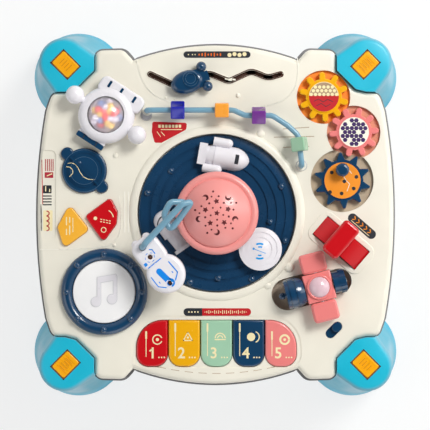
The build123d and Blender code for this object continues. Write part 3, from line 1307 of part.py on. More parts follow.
# ---------------------------------------------------------------- all pieces
def build():
    PARTS["top_shell"] = top_shell()
    PARTS["bottom_tray"] = bottom_tray()
    PARTS["battery_door"] = battery_door()
    PARTS["screws"] = screws()
    PARTS["springs"] = springs()
    PARTS["circuit_boards"] = circuit_boards()
    PARTS["speaker"] = speaker()
    PARTS["key_contact_strip"] = key_contact_strip()
    PARTS["pivot_pins"] = pivot_pins()
    for name, side in CORNERS.items():
        PARTS[f"leg_{name}"] = leg(*side)
        PARTS[f"latch_button_{name}"] = latch_button(*side)
    PARTS["leg_base_caps"] = leg_base_caps()
    PARTS["foot_pads"] = foot_pads()
    PARTS["centre_post"] = centre_post()
    PARTS["turntable_bearing"] = turntable_bearing()
    PARTS["turntable"] = turntable()
    PARTS["rocket"] = rocket()
    PARTS["capsule"] = capsule()
    PARTS["dish"] = dish()
    PARTS["lamp_base"] = lamp_base()
    PARTS["lamp_shade"] = lamp_shade()
    PARTS["arm"] = arm()
    PARTS["shuttle"] = shuttle()
    PARTS["helmet_body"] = helmet_body()
    PARTS["helmet_dome"] = helmet_dome()
    PARTS["helmet_beads"] = helmet_beads()
    PARTS["bead_wire"] = bead_wire()
    for color in BEADS:
        PARTS[f"bead_{color}"] = bead(color)
    PARTS["gear_wells"] = gear_wells()
    for color in GEARS:
        PARTS[f"gear_{color}"] = gear(color)
    PARTS["ship_slider"] = ship_slider()
    for index, name in enumerate(KEY_NAMES):
        PARTS[f"key_{index + 1}_{name}"] = key(index)
    PARTS["drum_ring"] = drum_ring()
    PARTS["drum_pad"] = drum_pad()
    PARTS["planet_button"] = planet_button()
    PARTS["yellow_button"] = yellow_button()
    PARTS["red_button"] = red_button()
    PARTS["power_switch"] = power_switch()
    PARTS["lever"] = lever()
    PARTS["joint_box"] = joint_box()
    PARTS["joint_lens"] = joint_lens()
    PARTS["roller_left"] = left_roller()
    PARTS["roller_right"] = right_roller()
    PARTS["wing_rear"] = wing(1)
    PARTS["wing_front"] = wing(-1)


build()
os.makedirs("parts", exist_ok=True)
for node, shape in PARTS.items():
    export_step(shape, f"parts/{node}.step")
print(len(PARTS), "nodes")
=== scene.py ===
import bpy
import bmesh
import json
from math import atan, atan2, cos, hypot, pi, radians, sin, tan
from mathutils import Matrix, Vector
from mathutils.bvhtree import BVHTree


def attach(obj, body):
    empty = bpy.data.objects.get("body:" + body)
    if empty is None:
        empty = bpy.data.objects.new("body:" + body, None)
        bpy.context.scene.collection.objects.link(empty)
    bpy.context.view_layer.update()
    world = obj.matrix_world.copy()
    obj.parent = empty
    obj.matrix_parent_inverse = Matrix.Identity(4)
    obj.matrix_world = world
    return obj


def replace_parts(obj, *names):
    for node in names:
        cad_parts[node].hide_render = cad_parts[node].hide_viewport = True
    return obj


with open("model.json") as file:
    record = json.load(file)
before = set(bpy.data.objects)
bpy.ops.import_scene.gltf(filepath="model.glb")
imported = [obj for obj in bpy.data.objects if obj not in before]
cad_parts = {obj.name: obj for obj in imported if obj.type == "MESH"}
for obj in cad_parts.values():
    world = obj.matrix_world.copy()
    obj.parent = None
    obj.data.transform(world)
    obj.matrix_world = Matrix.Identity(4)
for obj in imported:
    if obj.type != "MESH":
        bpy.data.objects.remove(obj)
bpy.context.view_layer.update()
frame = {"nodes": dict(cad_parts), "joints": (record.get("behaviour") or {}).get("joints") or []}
nodes = frame["nodes"]
scene = bpy.context.scene

# Lengths are in millimetres, and MM turns them into metres. Lamps, floor and clip_end are set in metres.
MM = 0.001
TOP = 210.0                 # play surface above the floor


# ---- places from the frame
def node_box(name):
    """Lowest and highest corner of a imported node."""
    spots = [vertex.co / MM for vertex in nodes[name].data.vertices]
    return [[end(spot[axis] for spot in spots) for axis in range(3)] for end in (min, max)]


def middle(name):
    """Middle of a node, seen in plan."""
    low, high = node_box(name)
    return ((low[0] + high[0]) / 2, (low[1] + high[1]) / 2)


def top_of(name):
    return node_box(name)[1][2]


def axle(body):
    """Axis that a body turns on, seen in plan."""
    joint = next(joint for joint in frame["joints"] if joint["child"] == body)
    return tuple(value / MM for value in joint["pos_m"][:2])


CORNERS = {"rear_left": (-1, 1), "rear_right": (1, 1), "front_left": (-1, -1), "front_right": (1, -1)}
GEARS = {name: axle(name) for name in ("gear_yellow", "gear_pink", "gear_navy")}
KEYS = ["key_1_red", "key_2_yellow", "key_3_mint", "key_4_navy", "key_5_pink"]
LAMP = axle("lamp")
FIGURE = axle("helmet")
LATCH_REACH = hypot(*middle("latch_button_rear_right"))

# ---- camera, lamps
EYE = (-0.56, -0.56, 1810.0)
VIEW_SPAN = 481.6           # width of the picture at the play surface

camera = bpy.data.objects.new("camera", bpy.data.cameras.new("camera"))
scene.collection.objects.link(camera)
camera.location = [value * MM for value in EYE]
camera.data.angle = 2 * atan(VIEW_SPAN / 2 / (EYE[2] - TOP))
camera.data.clip_end = 20
scene.camera = camera
scene.view_settings.view_transform = "Standard"


def lamp(name, spot, aim, size, power, tint, height=None):
    """Disc of light, or a rectangle where a height is given, in metres and watts."""
    light = bpy.data.lights.new(name, "AREA")
    light.shape = "RECTANGLE" if height else "DISK"
    light.size = size
    if height:
        light.size_y = height
    light.energy = power
    light.color = tint
    lamp_object = bpy.data.objects.new(name, light)
    lamp_object.location = spot
    lamp_object.rotation_euler = (Vector(aim) - Vector(spot)).to_track_quat("-Z", "Y").to_euler()
    scene.collection.objects.link(lamp_object)


TABLE_TOP = (0, 0, 0.2)
lamp("key", (1.15, 1.1, 1.9), TABLE_TOP, 0.9, 38.5, (1.0, 0.985, 0.955))
lamp("softbox", (1.55, 0.35, 1.05), TABLE_TOP, 0.8, 7, (1.0, 0.995, 0.98), height=1.5)
lamp("fill", (-1.4, -0.6, 1.5), TABLE_TOP, 1.5, 6, (0.94, 0.97, 1.0))
lamp("front", (0.4, -1.9, 0.9), (0, 0, 0.15), 1.3, 5, (1.0, 1.0, 1.0))


# ---- node trees
class Graph:
    """The node tree of a material or a world, with short calls."""

    def __init__(self, owner):
        owner.use_nodes = True
        self.owner = owner
        self.tree = owner.node_tree
        self.shader = self.tree.nodes.get("Principled BSDF")
        self.coordinates = self.add("ShaderNodeTexCoord").outputs

    def add(self, kind, **settings):
        node = self.tree.nodes.new(kind)
        for key, value in settings.items():
            setattr(node, key, value)
        return node

    def link(self, source, target):
        self.tree.links.new(source, target)

    def feed(self, sockets, values):
        """A number or a colour sets its socket, and an output is linked to it."""
        for socket, value in zip(sockets, values):
            if isinstance(value, (int, float, tuple)):
                socket.default_value = value
            else:
                self.link(value, socket)

    def set(self, **values):
        """Sets or links inputs of the shader, named with _ for a space."""
        self.feed([self.shader.inputs[name.replace("_", " ")] for name in values], values.values())

    def noise(self, scale, detail=2.0):
        node = self.add("ShaderNodeTexNoise")
        self.feed([node.inputs[name] for name in ("Vector", "Scale", "Detail")],
                  (self.coordinates["Object"], scale, detail))
        return node.outputs["Fac"]

    def ramp(self, value, low, high, out_low=0.0, out_high=1.0):
        node = self.add("ShaderNodeMapRange")
        self.feed([node.inputs[name] for name in ("Value", "From Min", "From Max", "To Min", "To Max")],
                  (value, low, high, out_low, out_high))
        return node.outputs["Result"]

    def math(self, operation, *values):
        node = self.add("ShaderNodeMath", operation=operation)
        self.feed(node.inputs, values)
        return node.outputs[0]

    def mix(self, factor, first, second):
        """Mix of two colours."""
        node = self.add("ShaderNodeMix", data_type="RGBA")
        self.feed((node.inputs[0], node.inputs[6], node.inputs[7]), (factor, first, second))
        return node.outputs[2]

    def blend(self, factor, first, second):
        """Mix of two shaders."""
        node = self.add("ShaderNodeMixShader")
        self.feed(node.inputs, (factor, first, second))
        return node.outputs[0]

    def axes(self, vector=None):
        node = self.add("ShaderNodeSeparateXYZ")
        self.link(vector or self.coordinates["Object"], node.inputs[0])
        return node.outputs

    def rise(self, low, high, out_low=0.0, out_high=1.0):
        """Share that grows between two levels."""
        return self.ramp(self.axes()[2], low * MM, high * MM, out_low, out_high)

    def distance(self, spot):
        """Distance in plan from a place, in metres."""
        x, y, _ = self.axes()
        squares = []
        for here, there in zip((x, y), spot):
            step = self.math("SUBTRACT", here, there * MM)
            squares.append(self.math("MULTIPLY", step, step))
        return self.math("SQRT", self.math("ADD", *squares))


# ---- world
world = bpy.data.worlds.new("studio")
scene.world = world
world.use_nodes = True
world.node_tree.nodes.clear()
sky = Graph(world)
soft, white = sky.add("ShaderNodeBackground"), sky.add("ShaderNodeBackground")
up = sky.axes(sky.coordinates["Generated"])[2]
soft.inputs["Color"].default_value = (1.0, 0.985, 0.96, 1)
sky.link(sky.ramp(up, 0.55, 0.95, 0.52, 0.06), soft.inputs["Strength"])
white.inputs["Color"].default_value = (1, 1, 1, 1)
rays = sky.add("ShaderNodeLightPath").outputs
seen = sky.math("MAXIMUM", rays["Is Camera Ray"], rays["Is Transmission Ray"])
surface = sky.blend(seen, soft.outputs[0], white.outputs[0])
sky.link(surface, sky.add("ShaderNodeOutputWorld").inputs["Surface"])


# ---- materials
def srgb(red, green, blue):
    """Linear colour from 0-255 display values."""
    out = []
    for value in (red, green, blue):
        value /= 255.0
        out.append(value / 12.92 if value <= 0.04045 else ((value + 0.055) / 1.055) ** 2.4)
    return (*out, 1.0)


def shade(color, factor):
    return (*[min(1.0, value * factor) for value in color[:3]], 1.0)


GRAIN_DEPTH = 0.08


def plastic(name, color, rough=0.35, coat=0.0, grain=0.25, scale=1400.0, flow=0.05, paint=None):
    """Moulded plastic: faint flow marks in the colour, fine surface grain, uneven gloss."""
    graph = Graph(bpy.data.materials.new(name))
    cloud = graph.ramp(graph.noise(14, 3), 0.3, 0.7)
    if paint:
        tone = graph.add("ShaderNodeHueSaturation")
        graph.feed((tone.inputs["Color"], tone.inputs["Value"]),
                   (paint(graph), graph.ramp(cloud, 0, 1, 1 - flow, 1 + flow)))
        base = tone.outputs["Color"]
    else:
        base = graph.mix(cloud, shade(color, 1 - flow), shade(color, 1 + flow))
    bump = graph.add("ShaderNodeBump")
    graph.feed([bump.inputs[socket] for socket in ("Strength", "Distance", "Height")],
               (grain, GRAIN_DEPTH * MM, graph.noise(scale, 2)))
    gloss = graph.ramp(graph.noise(55, 4), 0.25, 0.75, rough * 0.85, min(1, rough * 1.2))
    graph.set(Base_Color=base, Roughness=gloss, Normal=bump.outputs["Normal"], Coat_Weight=coat,
              Coat_Roughness=0.12, IOR=1.48)
    return graph.owner


CREAM = (240, 236, 222)
SEAM_LEVEL = 185.6          # the tray's dark flange is above it
LEG_AXIS = 240.5            # a leg's upright axis from the middle, along the diagonal
# how much further off than the pink gear's axis the yellow or the navy gear's may be to give the colour
UPPER_WELL_EDGE, LOWER_WELL_EDGE = 0.4, 6.0
DIAGONAL = 0.5 ** 0.5


def well_colours(graph):
    """Each gear well's own colour: the distances from the gears' axes decide."""
    yellow, pink, navy = [graph.distance(spot) for spot in GEARS.values()]
    upper = graph.math("LESS_THAN", graph.math("SUBTRACT", yellow, UPPER_WELL_EDGE * MM), pink)
    lower = graph.math("LESS_THAN", graph.math("SUBTRACT", navy, LOWER_WELL_EDGE * MM), pink)
    color = graph.mix(upper, srgb(222, 156, 128), srgb(250, 146, 46))
    return graph.mix(lower, color, srgb(198, 178, 152))


def tray_colours(graph):
    """Cream tray with a dark grey seam flange at its rim."""
    rim = graph.math("GREATER_THAN", graph.axes()[2], SEAM_LEVEL * MM)
    return graph.mix(rim, srgb(*CREAM), srgb(92, 94, 98))


def leg_colours_with_painted_reflection(graph):
    """Bright cap and a deep rim at the foot; the pale rounded edge, the greyer shoulder and the pale streak
    on each side are painted reflection.
    """
    normal = graph.add("ShaderNodeNewGeometry").outputs["Normal"]
    flat = graph.ramp(graph.axes(normal)[2], 0.72, 0.97)
    # painted reflection: pale on the rounded edge, greyer on the shoulder, while the flat cap keeps the plain
    # cyan
    color = graph.mix(graph.rise(185, 207), srgb(40, 168, 196), srgb(108, 178, 200))
    color = graph.mix(flat, color, srgb(22, 186, 216))
    # painted reflection: a pale streak on each side of a leg
    x, y = [graph.math("ABSOLUTE", value) for value in graph.axes()[:2]]
    along = graph.math("MULTIPLY", graph.math("ADD", x, y), DIAGONAL)
    across = graph.math("ABSOLUTE", graph.math("MULTIPLY", graph.math("SUBTRACT", x, y), DIAGONAL))
    turn = graph.math("ARCTAN2", across, graph.math("SUBTRACT", along, LEG_AXIS * MM))
    side = graph.math("MULTIPLY", graph.ramp(turn, 0.40, 0.62), graph.ramp(turn, 1.26, 1.02))
    band = graph.math("MULTIPLY", graph.rise(66, 86), graph.rise(140, 112))
    painted_streak = graph.math("MULTIPLY", graph.math("MULTIPLY", side, band), 0.3)
    color = graph.mix(painted_streak, color, srgb(190, 208, 222))
    graph.set(Specular_IOR_Level=graph.rise(40, 85, 0.06, 0.5))
    return graph.mix(graph.rise(72, 50), color, srgb(8, 172, 206))


# look: colour, roughness, coat, grain, grain's scale, flow marks
PLASTICS = {
    "cream": (CREAM, 0.4, 0.06, 0.3),
    "orange": ((250, 176, 14), 0.3, 0.2),
    "navy": ((16, 62, 98), 0.2, 0.6, 0.15, 1400, 0.12),
    "turntable": ((16, 60, 96), 0.26, 0.4, 0.3, 900, 0.15),
    "lamp": ((238, 152, 148), 0.34, 0.25, 0.6, 800),
    "white": ((236, 234, 240), 0.26, 0.3, 0.2),
    "red": ((205, 14, 26), 0.2, 0.6, 0.12),
    "yellow": ((244, 178, 14), 0.24, 0.5, 0.15),
    "yellow_button": ((252, 184, 58), 0.32, 0.25, 0.3),
    "mint": ((162, 206, 176), 0.3, 0.35, 0.2),
    "pink": ((240, 134, 132), 0.22, 0.55, 0.12),
    "bead_blue": ((28, 34, 174), 0.24, 0.4, 0.15),
    "bead_orange": ((252, 166, 62), 0.26, 0.4, 0.15),
    "bead_purple": ((118, 48, 148), 0.24, 0.4, 0.15),
    "bead_mint": ((152, 196, 164), 0.3, 0.3, 0.5, 500),
    "wire": ((118, 164, 188), 0.3, 0.3, 0.25),
    "seam": ((124, 124, 127), 0.5, 0.0, 0.3),
    # dark red-brown of the painted shade seen through the lamp shade's cut-outs
    "cut_out_painted_shade": ((92, 22, 28), 0.6, 0.0, 0.3),
    "rubber": ((78, 80, 84), 0.7, 0.0, 0.8, 600),
    "board": ((34, 92, 62), 0.4, 0.3, 0.2),
    "grey": ((190, 190, 192), 0.45),
    "drum_pad": ((250, 250, 252), 0.4, 0.1, 0.5, 500),
    "joint_lens": ((228, 196, 206), 0.16, 0.6, 0.1),
    "brown": ((78, 44, 30), 0.6, 0.0, 0.4),
    "taupe": ((206, 188, 170), 0.55, 0.0, 0.4),
    "ball_red": ((250, 104, 104), 0.3, 0.3),
    "ball_yellow": ((246, 212, 116), 0.3, 0.3),
    "ball_blue": ((128, 148, 192), 0.3, 0.3),
    # lighter navy: painted highlight on raised rims
    "navy_painted_highlight": ((64, 98, 128), 0.4, 0.2, 0.2),
    # darker orange of the latch ribs: painted shade
    "latch_rib_painted_shade": ((206, 124, 10), 0.45, 0.0, 0.2),
    # dark brown of the painted shade in the gap round each latch button
    "latch_gap_painted_shade": ((112, 62, 30), 0.5, 0.0, 0.2),
    # grey of the painted shadow round the drum's raised note
    "pad_painted_shadow": ((214, 214, 219), 0.6, 0.0, 0.2),
    # lighter than the cream: painted highlight on the shell's raised lines
    "raised_line_painted_highlight": ((250, 247, 236), 0.3, 0.2, 0.2),
}

# print: colour, and where they aren't the usual ones roughness, coat, flow marks
INKS = {
    "print": (246, 232, 184, 0.45),
    "dark_print": (38, 42, 50, 0.45, 0.1, 0.08),
    "red_print": (196, 24, 34),
    "orange_print": (240, 112, 30),
    "amber_print": (246, 150, 36),
    "purple_print": (58, 30, 92),
    "blue_print": (10, 138, 236, 0.4, 0.15),
    "azure_print": (0, 158, 236, 0.4, 0.15),
    "white_print": (246, 243, 228, 0.45, 0.1, 0.05),
    "rose_print": (182, 44, 62),
    "tan_print": (172, 142, 112, 0.5, 0.0, 0.08),
}


def ink(name, red, green, blue, rough=0.42, coat=0.1, flow=0.06):
    return plastic(name, srgb(red, green, blue), rough, coat, 0.3, 2200, flow)


def steel():
    graph = Graph(bpy.data.materials.new("steel"))
    base = graph.mix(graph.noise(60, 3), srgb(150, 152, 156), srgb(206, 208, 212))
    graph.set(Metallic=1.0, Base_Color=base, Roughness=graph.ramp(graph.noise(300, 4), 0.3, 0.7, 0.22, 0.4))
    return graph.owner


def clear_dome():
    """Clear window with a faint milky haze."""
    graph = Graph(bpy.data.materials.new("helmet_dome"))
    haze = graph.mix(graph.noise(25, 2), srgb(252, 248, 250), srgb(246, 240, 246))
    graph.set(Transmission_Weight=0.93, IOR=1.12, Base_Color=haze, Coat_Weight=0.8, Coat_Roughness=0.05,
              Roughness=graph.ramp(graph.noise(90, 2), 0.3, 0.7, 0.46, 0.52))
    return graph.owner


LOOKS = {look: plastic(look, srgb(*color), *finish) for look, (color, *finish) in PLASTICS.items()}
LOOKS.update({look: ink(look, *values) for look, values in INKS.items()})
LOOKS["tray"] = plastic("tray", None, 0.42, 0.0, 0.3, paint=tray_colours)
LOOKS["legs"] = plastic("legs", None, 0.4, 0.1, 0.2, paint=leg_colours_with_painted_reflection)
LOOKS["gear_wells"] = plastic("gear_wells", None, 0.45, 0.05, 0.3, paint=well_colours)
LOOKS["steel"] = steel()
LOOKS["helmet_dome"] = clear_dome()

# look: the nodes that wear it. A node that isn't named here has a look of its own name.
DRESS = {
    "cream": ["top_shell", "centre_post"],
    "tray": ["bottom_tray", "battery_door"],
    "legs": ["leg_base_caps", *[f"leg_{corner}" for corner in CORNERS]],
    "orange": [f"latch_button_{corner}" for corner in CORNERS],
    "navy": ["drum_ring", "gear_navy", "ship_slider", "key_4_navy", "planet_button", "power_switch",
             "roller_left", "roller_right"],
    "lamp": ["lamp_base", "lamp_shade"],
    "white": ["rocket", "capsule", "dish", "shuttle", "helmet_body"],
    "red": ["key_1_red", "red_button", "lever"],
    "yellow": ["gear_yellow", "key_2_yellow"],
    "mint": ["key_3_mint"],
    "pink": ["gear_pink", "key_5_pink", "joint_box", "wing_rear", "wing_front"],
    "wire": ["bead_wire", "arm"],
    "rubber": ["foot_pads", "key_contact_strip"],
    "board": ["circuit_boards"],
    "grey": ["speaker", "turntable_bearing"],
    "steel": ["screws", "springs", "pivot_pins"],
    "ball_red": ["helmet_beads"],
}
LOOK_OF = {name: look for look, names in DRESS.items() for name in names}


# ---- dressing the CAD nodes
SHARP_ANGLE = radians(32)
WELD_GAP = 0.002
WIRE_GROWTH = 0.4           # added to the bead wire's radius


def smoothing():
    """Node group that rounds the shading over shallow edges and keeps the sharp ones."""
    group = bpy.data.node_groups.new("soft_shading", "GeometryNodeTree")
    for direction in ("INPUT", "OUTPUT"):
        group.interface.new_socket("Geometry", in_out=direction, socket_type="NodeSocketGeometry")
    kinds = ("NodeGroupInput", "NodeGroupOutput", "GeometryNodeInputMeshEdgeAngle", "FunctionNodeCompare",
             "FunctionNodeBooleanMath", "GeometryNodeSetShadeSmooth", "GeometryNodeSetShadeSmooth")
    start, end, angle, sharp, flat, faces, edges = [group.nodes.new(kind) for kind in kinds]
    sharp.operation = "GREATER_THAN"
    sharp.inputs[1].default_value = SHARP_ANGLE
    flat.operation = "NOT"
    edges.domain = "EDGE"
    for source, node, socket in ((angle, sharp, 0), (sharp, flat, 0), (start, faces, "Geometry"),
                                 (faces, edges, "Geometry"), (flat, edges, "Shade Smooth"), (edges, end, 0)):
        group.links.new(source.outputs[0], node.inputs[socket])
    return group


soft_shading = smoothing()


def soften(piece):
    """Smooth shading with a weld before it."""
    piece.modifiers.new("weld", "WELD").merge_threshold = WELD_GAP * MM
    piece.modifiers.new("shading", "NODES").node_group = soft_shading


wider = nodes["bead_wire"].modifiers.new("wider", "DISPLACE")
wider.strength = WIRE_GROWTH * MM
wider.mid_level = 0.0
for name, piece in nodes.items():
    if not piece.material_slots:
        piece.data.materials.append(None)
    for slot in piece.material_slots:
        slot.material = LOOKS[LOOK_OF.get(name, name)]
    soften(piece)


# ---- flat shapes
def turned(points, angle, x=0.0, y=0.0):
    c, s = cos(radians(angle)), sin(radians(angle))
    return [(x + px * c - py * s, y + px * s + py * c) for px, py in points]


def around(center, radius, angle):
    """Place at an angle, in degrees, on a circle."""
    return (center[0] + radius * cos(radians(angle)), center[1] + radius * sin(radians(angle)))


def dot(x, y, radius, sides=28):
    return [around((x, y), radius, 360 * i / sides) for i in range(sides)]


def plate(x, y, width, height, angle=0.0, corner=0.4):
    """Rectangle with rounded corners."""
    corner = min(corner, width / 2 - 0.01, height / 2 - 0.01)
    steps = 6 if corner > 0.5 else 2
    out = []
    for side_x, side_y, start in ((1, 1, 0), (-1, 1, 90), (-1, -1, 180), (1, -1, 270)):
        center = (side_x * (width / 2 - corner), side_y * (height / 2 - corner))
        out += [around(center, corner, start + 90 * i / steps) for i in range(steps + 1)]
    return turned(out, angle, x, y)


def stroke(points, width, closed=False):
    """Line of constant width with round ends, as one bar for each run."""
    shapes = []
    ends = points[1:] + points[:1] if closed else points[1:]
    for (ax, ay), (bx, by) in zip(points, ends):
        angle = atan((by - ay) / (bx - ax)) * 180 / pi if bx != ax else 90
        length = hypot(bx - ax, by - ay) + width
        shapes.append(plate((ax + bx) / 2, (ay + by) / 2, length, width, angle, width / 2))
    return shapes


def bow(x, y, radius, start, end, width, steps=14):
    """Arc of constant width."""
    angles = [start + (end - start) * i / steps for i in range(steps + 1)]
    outer = [around((x, y), radius + width / 2, angle) for angle in angles]
    return outer + [around((x, y), radius - width / 2, angle) for angle in reversed(angles)]


def loop(x, y, radius, width, parts=4):
    """Ring as a few arcs that meet."""
    step = 360 / parts
    return [bow(x, y, radius, i * step, (i + 1) * step, width, 12) for i in range(parts)]


def corner_curve(first, corner, last, steps):
    """Curve from one place to another, drawn toward the corner between them."""
    return [first * (1 - t) ** 2 + corner * 2 * t * (1 - t) + last * t ** 2
            for t in [k / steps for k in range(steps + 1)]]


def bent(points, radii, steps=8):
    """Open line in the plane or in space, with each corner rounded to its radius."""
    points = [Vector(point) for point in points]
    out = points[:1]
    for before, here, after, radius in zip(points, points[1:], points[2:], radii):
        back, ahead = before - here, after - here
        reach = min(radius / tan(back.angle(ahead) / 2), back.length * 0.49, ahead.length * 0.49)
        out += corner_curve(here + back.normalized() * reach, here, here + ahead.normalized() * reach, steps)
    return out + points[-1:]


def rounded(corners, radius):
    """Polygon with rounded corners."""
    ends = corners[-1:] + corners + corners[:1]
    return [tuple(point) for point in bent(ends, [radius] * len(corners), 6)[1:-1]]


def rounded_path(points):
    """Open line through the middles of its runs, curved at each corner."""
    points = [Vector(point) for point in points]
    out = points[:1]
    for before, here, after in zip(points, points[1:], points[2:]):
        out += corner_curve((before + here) / 2, here, (here + after) / 2, 5)
    return [tuple(point) for point in out + points[-1:]]


def beside(points, amount):
    """Open line moved to its left by an amount."""
    out = []
    for i, here in enumerate(points):
        back = (here - points[i - 1]).normalized() if i else (points[1] - here).normalized()
        ahead = (points[i + 1] - here).normalized() if i < len(points) - 1 else back
        along = (back + ahead).normalized()
        reach = amount / max(0.3, along.dot(ahead))
        out.append((here.x - along.y * reach, here.y + along.x * reach))
    return out


# ---- pieces
def mesh_of(name, bm, outward=True):
    """Finished mesh, with its faces turned outward."""
    if outward:
        bmesh.ops.recalc_face_normals(bm, faces=bm.faces[:])
    data = bpy.data.meshes.new(name)
    bm.to_mesh(data)
    bm.free()
    return data


def shape_of(name, source):
    """Mesh that an object's curve or modifiers give. The object is removed."""
    scene.collection.objects.link(source)
    bpy.context.view_layer.update()
    data = bpy.data.meshes.new_from_object(source.evaluated_get(bpy.context.evaluated_depsgraph_get()))
    bpy.data.objects.remove(source)
    data.name = name
    data.materials.clear()
    return data


def ring_of(bm, points, level):
    """Vertices of an outline at a level."""
    return [bm.verts.new((x * MM, y * MM, level * MM)) for x, y in points]


def wall(bm, low, high, closed=True):
    """Faces between two rings."""
    for i in range(len(low) if closed else len(low) - 1):
        j = (i + 1) % len(low)
        bm.faces.new((low[i], low[j], high[j], high[i]))


def add_piece(name, data, look, body):
    piece = bpy.data.objects.new(name, data)
    scene.collection.objects.link(piece)
    data.materials.append(LOOKS[look])
    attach(piece, body)
    return piece


SURFACES = {}
LONGEST_EDGE = 2.2          # of a print that follows a curved surface
ABOVE_ALL = 400.0
NUMERAL_SIZE = 17.112       # of the font: its figures are about 12.4 high


def height_over(names, x, y, fallback):
    """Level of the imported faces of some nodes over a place."""
    if names not in SURFACES:
        verts, faces = [], []
        for name in names:
            start = len(verts)
            verts += [tuple(vertex.co) for vertex in nodes[name].data.vertices]
            faces += [[start + i for i in face.vertices] for face in nodes[name].data.polygons]
        SURFACES[names] = BVHTree.FromPolygons(verts, faces)
    hit = SURFACES[names].ray_cast(Vector((x, y, ABOVE_ALL)) * MM, Vector((0, 0, -1)))
    return hit[0].z / MM if hit[0] else fallback


def printed(name, look, body, slot, shapes, spot=(0, 0), turn=0.0, level=TOP, over=None, lift=0.12, deep=0.3):
    """Thin raised print. It follows the nodes that over names, or its levels, and otherwise lies flat."""
    bm = bmesh.new()
    for shape in shapes:
        points = turned(shape, turn, *spot)
        lid = ring_of(bm, points, 0 if over else level + lift)
        bm.faces.new(lid)
        if not over:
            wall(bm, ring_of(bm, points, level + lift - deep), lid)
    if over:
        bmesh.ops.triangulate(bm, faces=bm.faces[:])
        for _ in range(3):
            long = [edge for edge in bm.edges if edge.calc_length() > LONGEST_EDGE * MM]
            if not long:
                break
            bmesh.ops.subdivide_edges(bm, edges=long, cuts=1)
            bmesh.ops.triangulate(bm, faces=bm.faces[:])
        for vertex in bm.verts:
            x, y = vertex.co.x / MM, vertex.co.y / MM
            ground_level = over(x, y) if callable(over) else height_over(over, x, y, level)
            vertex.co.z = (ground_level + lift) * MM
        for made in bmesh.ops.extrude_face_region(bm, geom=bm.faces[:])["geom"]:
            if isinstance(made, bmesh.types.BMVert):
                made.co.z -= deep * MM
    add_piece(name, mesh_of(name, bm), look, body)


def numeral(name, text, body, spot, level):
    """Bold numeral, middle on a spot."""
    curve = bpy.data.curves.new(name, "FONT")
    curve.body = text
    curve.align_x = "CENTER"
    curve.align_y = "CENTER"
    curve.size = NUMERAL_SIZE * MM
    curve.offset = 0.28 * MM
    curve.extrude = 0.12 * MM
    curve.resolution_u = 6
    data = shape_of(name, bpy.data.objects.new(name, curve))
    data.transform(Matrix.Translation(Vector((*spot, level)) * MM))
    add_piece(name, data, "print", body)


def balls(name, look, body, spots, radius, squash=1.0):
    bm = bmesh.new()
    for spot in spots:
        made = bmesh.ops.create_uvsphere(bm, u_segments=14, v_segments=8, radius=radius * MM)
        for vertex in made["verts"]:
            vertex.co = Vector((vertex.co.x, vertex.co.y, vertex.co.z * squash)) + Vector(spot) * MM
    for face in bm.faces:
        face.smooth = True
    return add_piece(name, mesh_of(name, bm, outward=False), look, body)


# ---- legs
SECTION_LEVEL = 196.0       # where the housing's outline is read
FOOT_REACH, FOOT_RADIUS = 240.8, 57.0
RIM_TOP, SHOULDER = 2.6, 175.0
NOSE_REACH, NOSE_RADIUS, SPREAD = 240.0, 28.6, 10.0
FLARE_END = 0.8             # how far the flare stands out from the cap at the shoulder
FLANK_END = 196.0           # where a leg's flanks end inward
CAP_LEVEL = top_of("leg_rear_right")
EDGE_ROUND = 6.5
RIM = ((20, 5.0), (56.4, 5.0), (56.4, 1.5), (56.7, 1.5), (FOOT_RADIUS, RIM_TOP))
CROWN = ((10, 213.45), (15, 213.8), (21, 214.0))    # how far in from the edge, level
FLANK_STEPS, NOSE_STEPS, FLARE_STEPS, EDGE_STEPS = 9, 44, 24, 6
INNER_ANGLE = 177.0         # of the foot's first point, from the outward direction
HOUSING_GAP = 0.45
RECESS_LEVELS = (165.5, 225.0)
WINDOW_LEVELS = (197.0, 225.0)
WINDOW = (26.2, 20.2)


def section_outline(name, level):
    """Outermost outline of a node cut at a level, anticlockwise."""
    bm = bmesh.new()
    bm.from_mesh(nodes[name].data)
    bmesh.ops.remove_doubles(bm, verts=bm.verts[:], dist=WELD_GAP * MM)
    cut = bmesh.ops.bisect_plane(bm, geom=bm.verts[:] + bm.edges[:] + bm.faces[:], clear_inner=True,
                                 clear_outer=True, plane_co=(0, 0, level * MM), plane_no=(0, 0, 1))
    neighbours = {}
    for edge in cut["geom_cut"]:
        if isinstance(edge, bmesh.types.BMEdge):
            first, last = [(round(v.co.x / MM, 3), round(v.co.y / MM, 3)) for v in edge.verts]
            neighbours.setdefault(first, []).append(last)
            neighbours.setdefault(last, []).append(first)
    bm.free()
    walk = [max(neighbours)]
    while True:
        ahead = [p for p in neighbours[walk[-1]] if p not in walk[-2:] or (p == walk[0] and len(walk) > 2)]
        if not ahead or ahead[0] == walk[0]:
            break
        walk.append(ahead[0])
    area = sum(a[0] * b[1] - b[0] * a[1] for a, b in zip(walk, walk[1:] + walk[:1]))
    return walk if area > 0 else walk[::-1]


def grown(points, amount):
    """Closed outline moved outward."""
    out = []
    for i, here in enumerate(points):
        before, after = Vector(points[i - 1]), Vector(points[(i + 1) % len(points)])
        along = (after - before).normalized()
        out.append((here[0] + along.y * amount, here[1] - along.x * amount))
    return out


def prism(points, low, high):
    """Object of an outline raised between two levels."""
    bm = bmesh.new()
    foot, lid = ring_of(bm, points, low), ring_of(bm, points, high)
    bm.faces.new(foot[::-1])
    bm.faces.new(lid)
    wall(bm, foot, lid)
    return bpy.data.objects.new("prism", mesh_of("prism", bm, outward=False))


def nose_angles():
    """Angles of a leg's round nose, in degrees."""
    half = 90 - SPREAD
    return [-half + 2 * half * i / NOSE_STEPS for i in range(NOSE_STEPS + 1)]


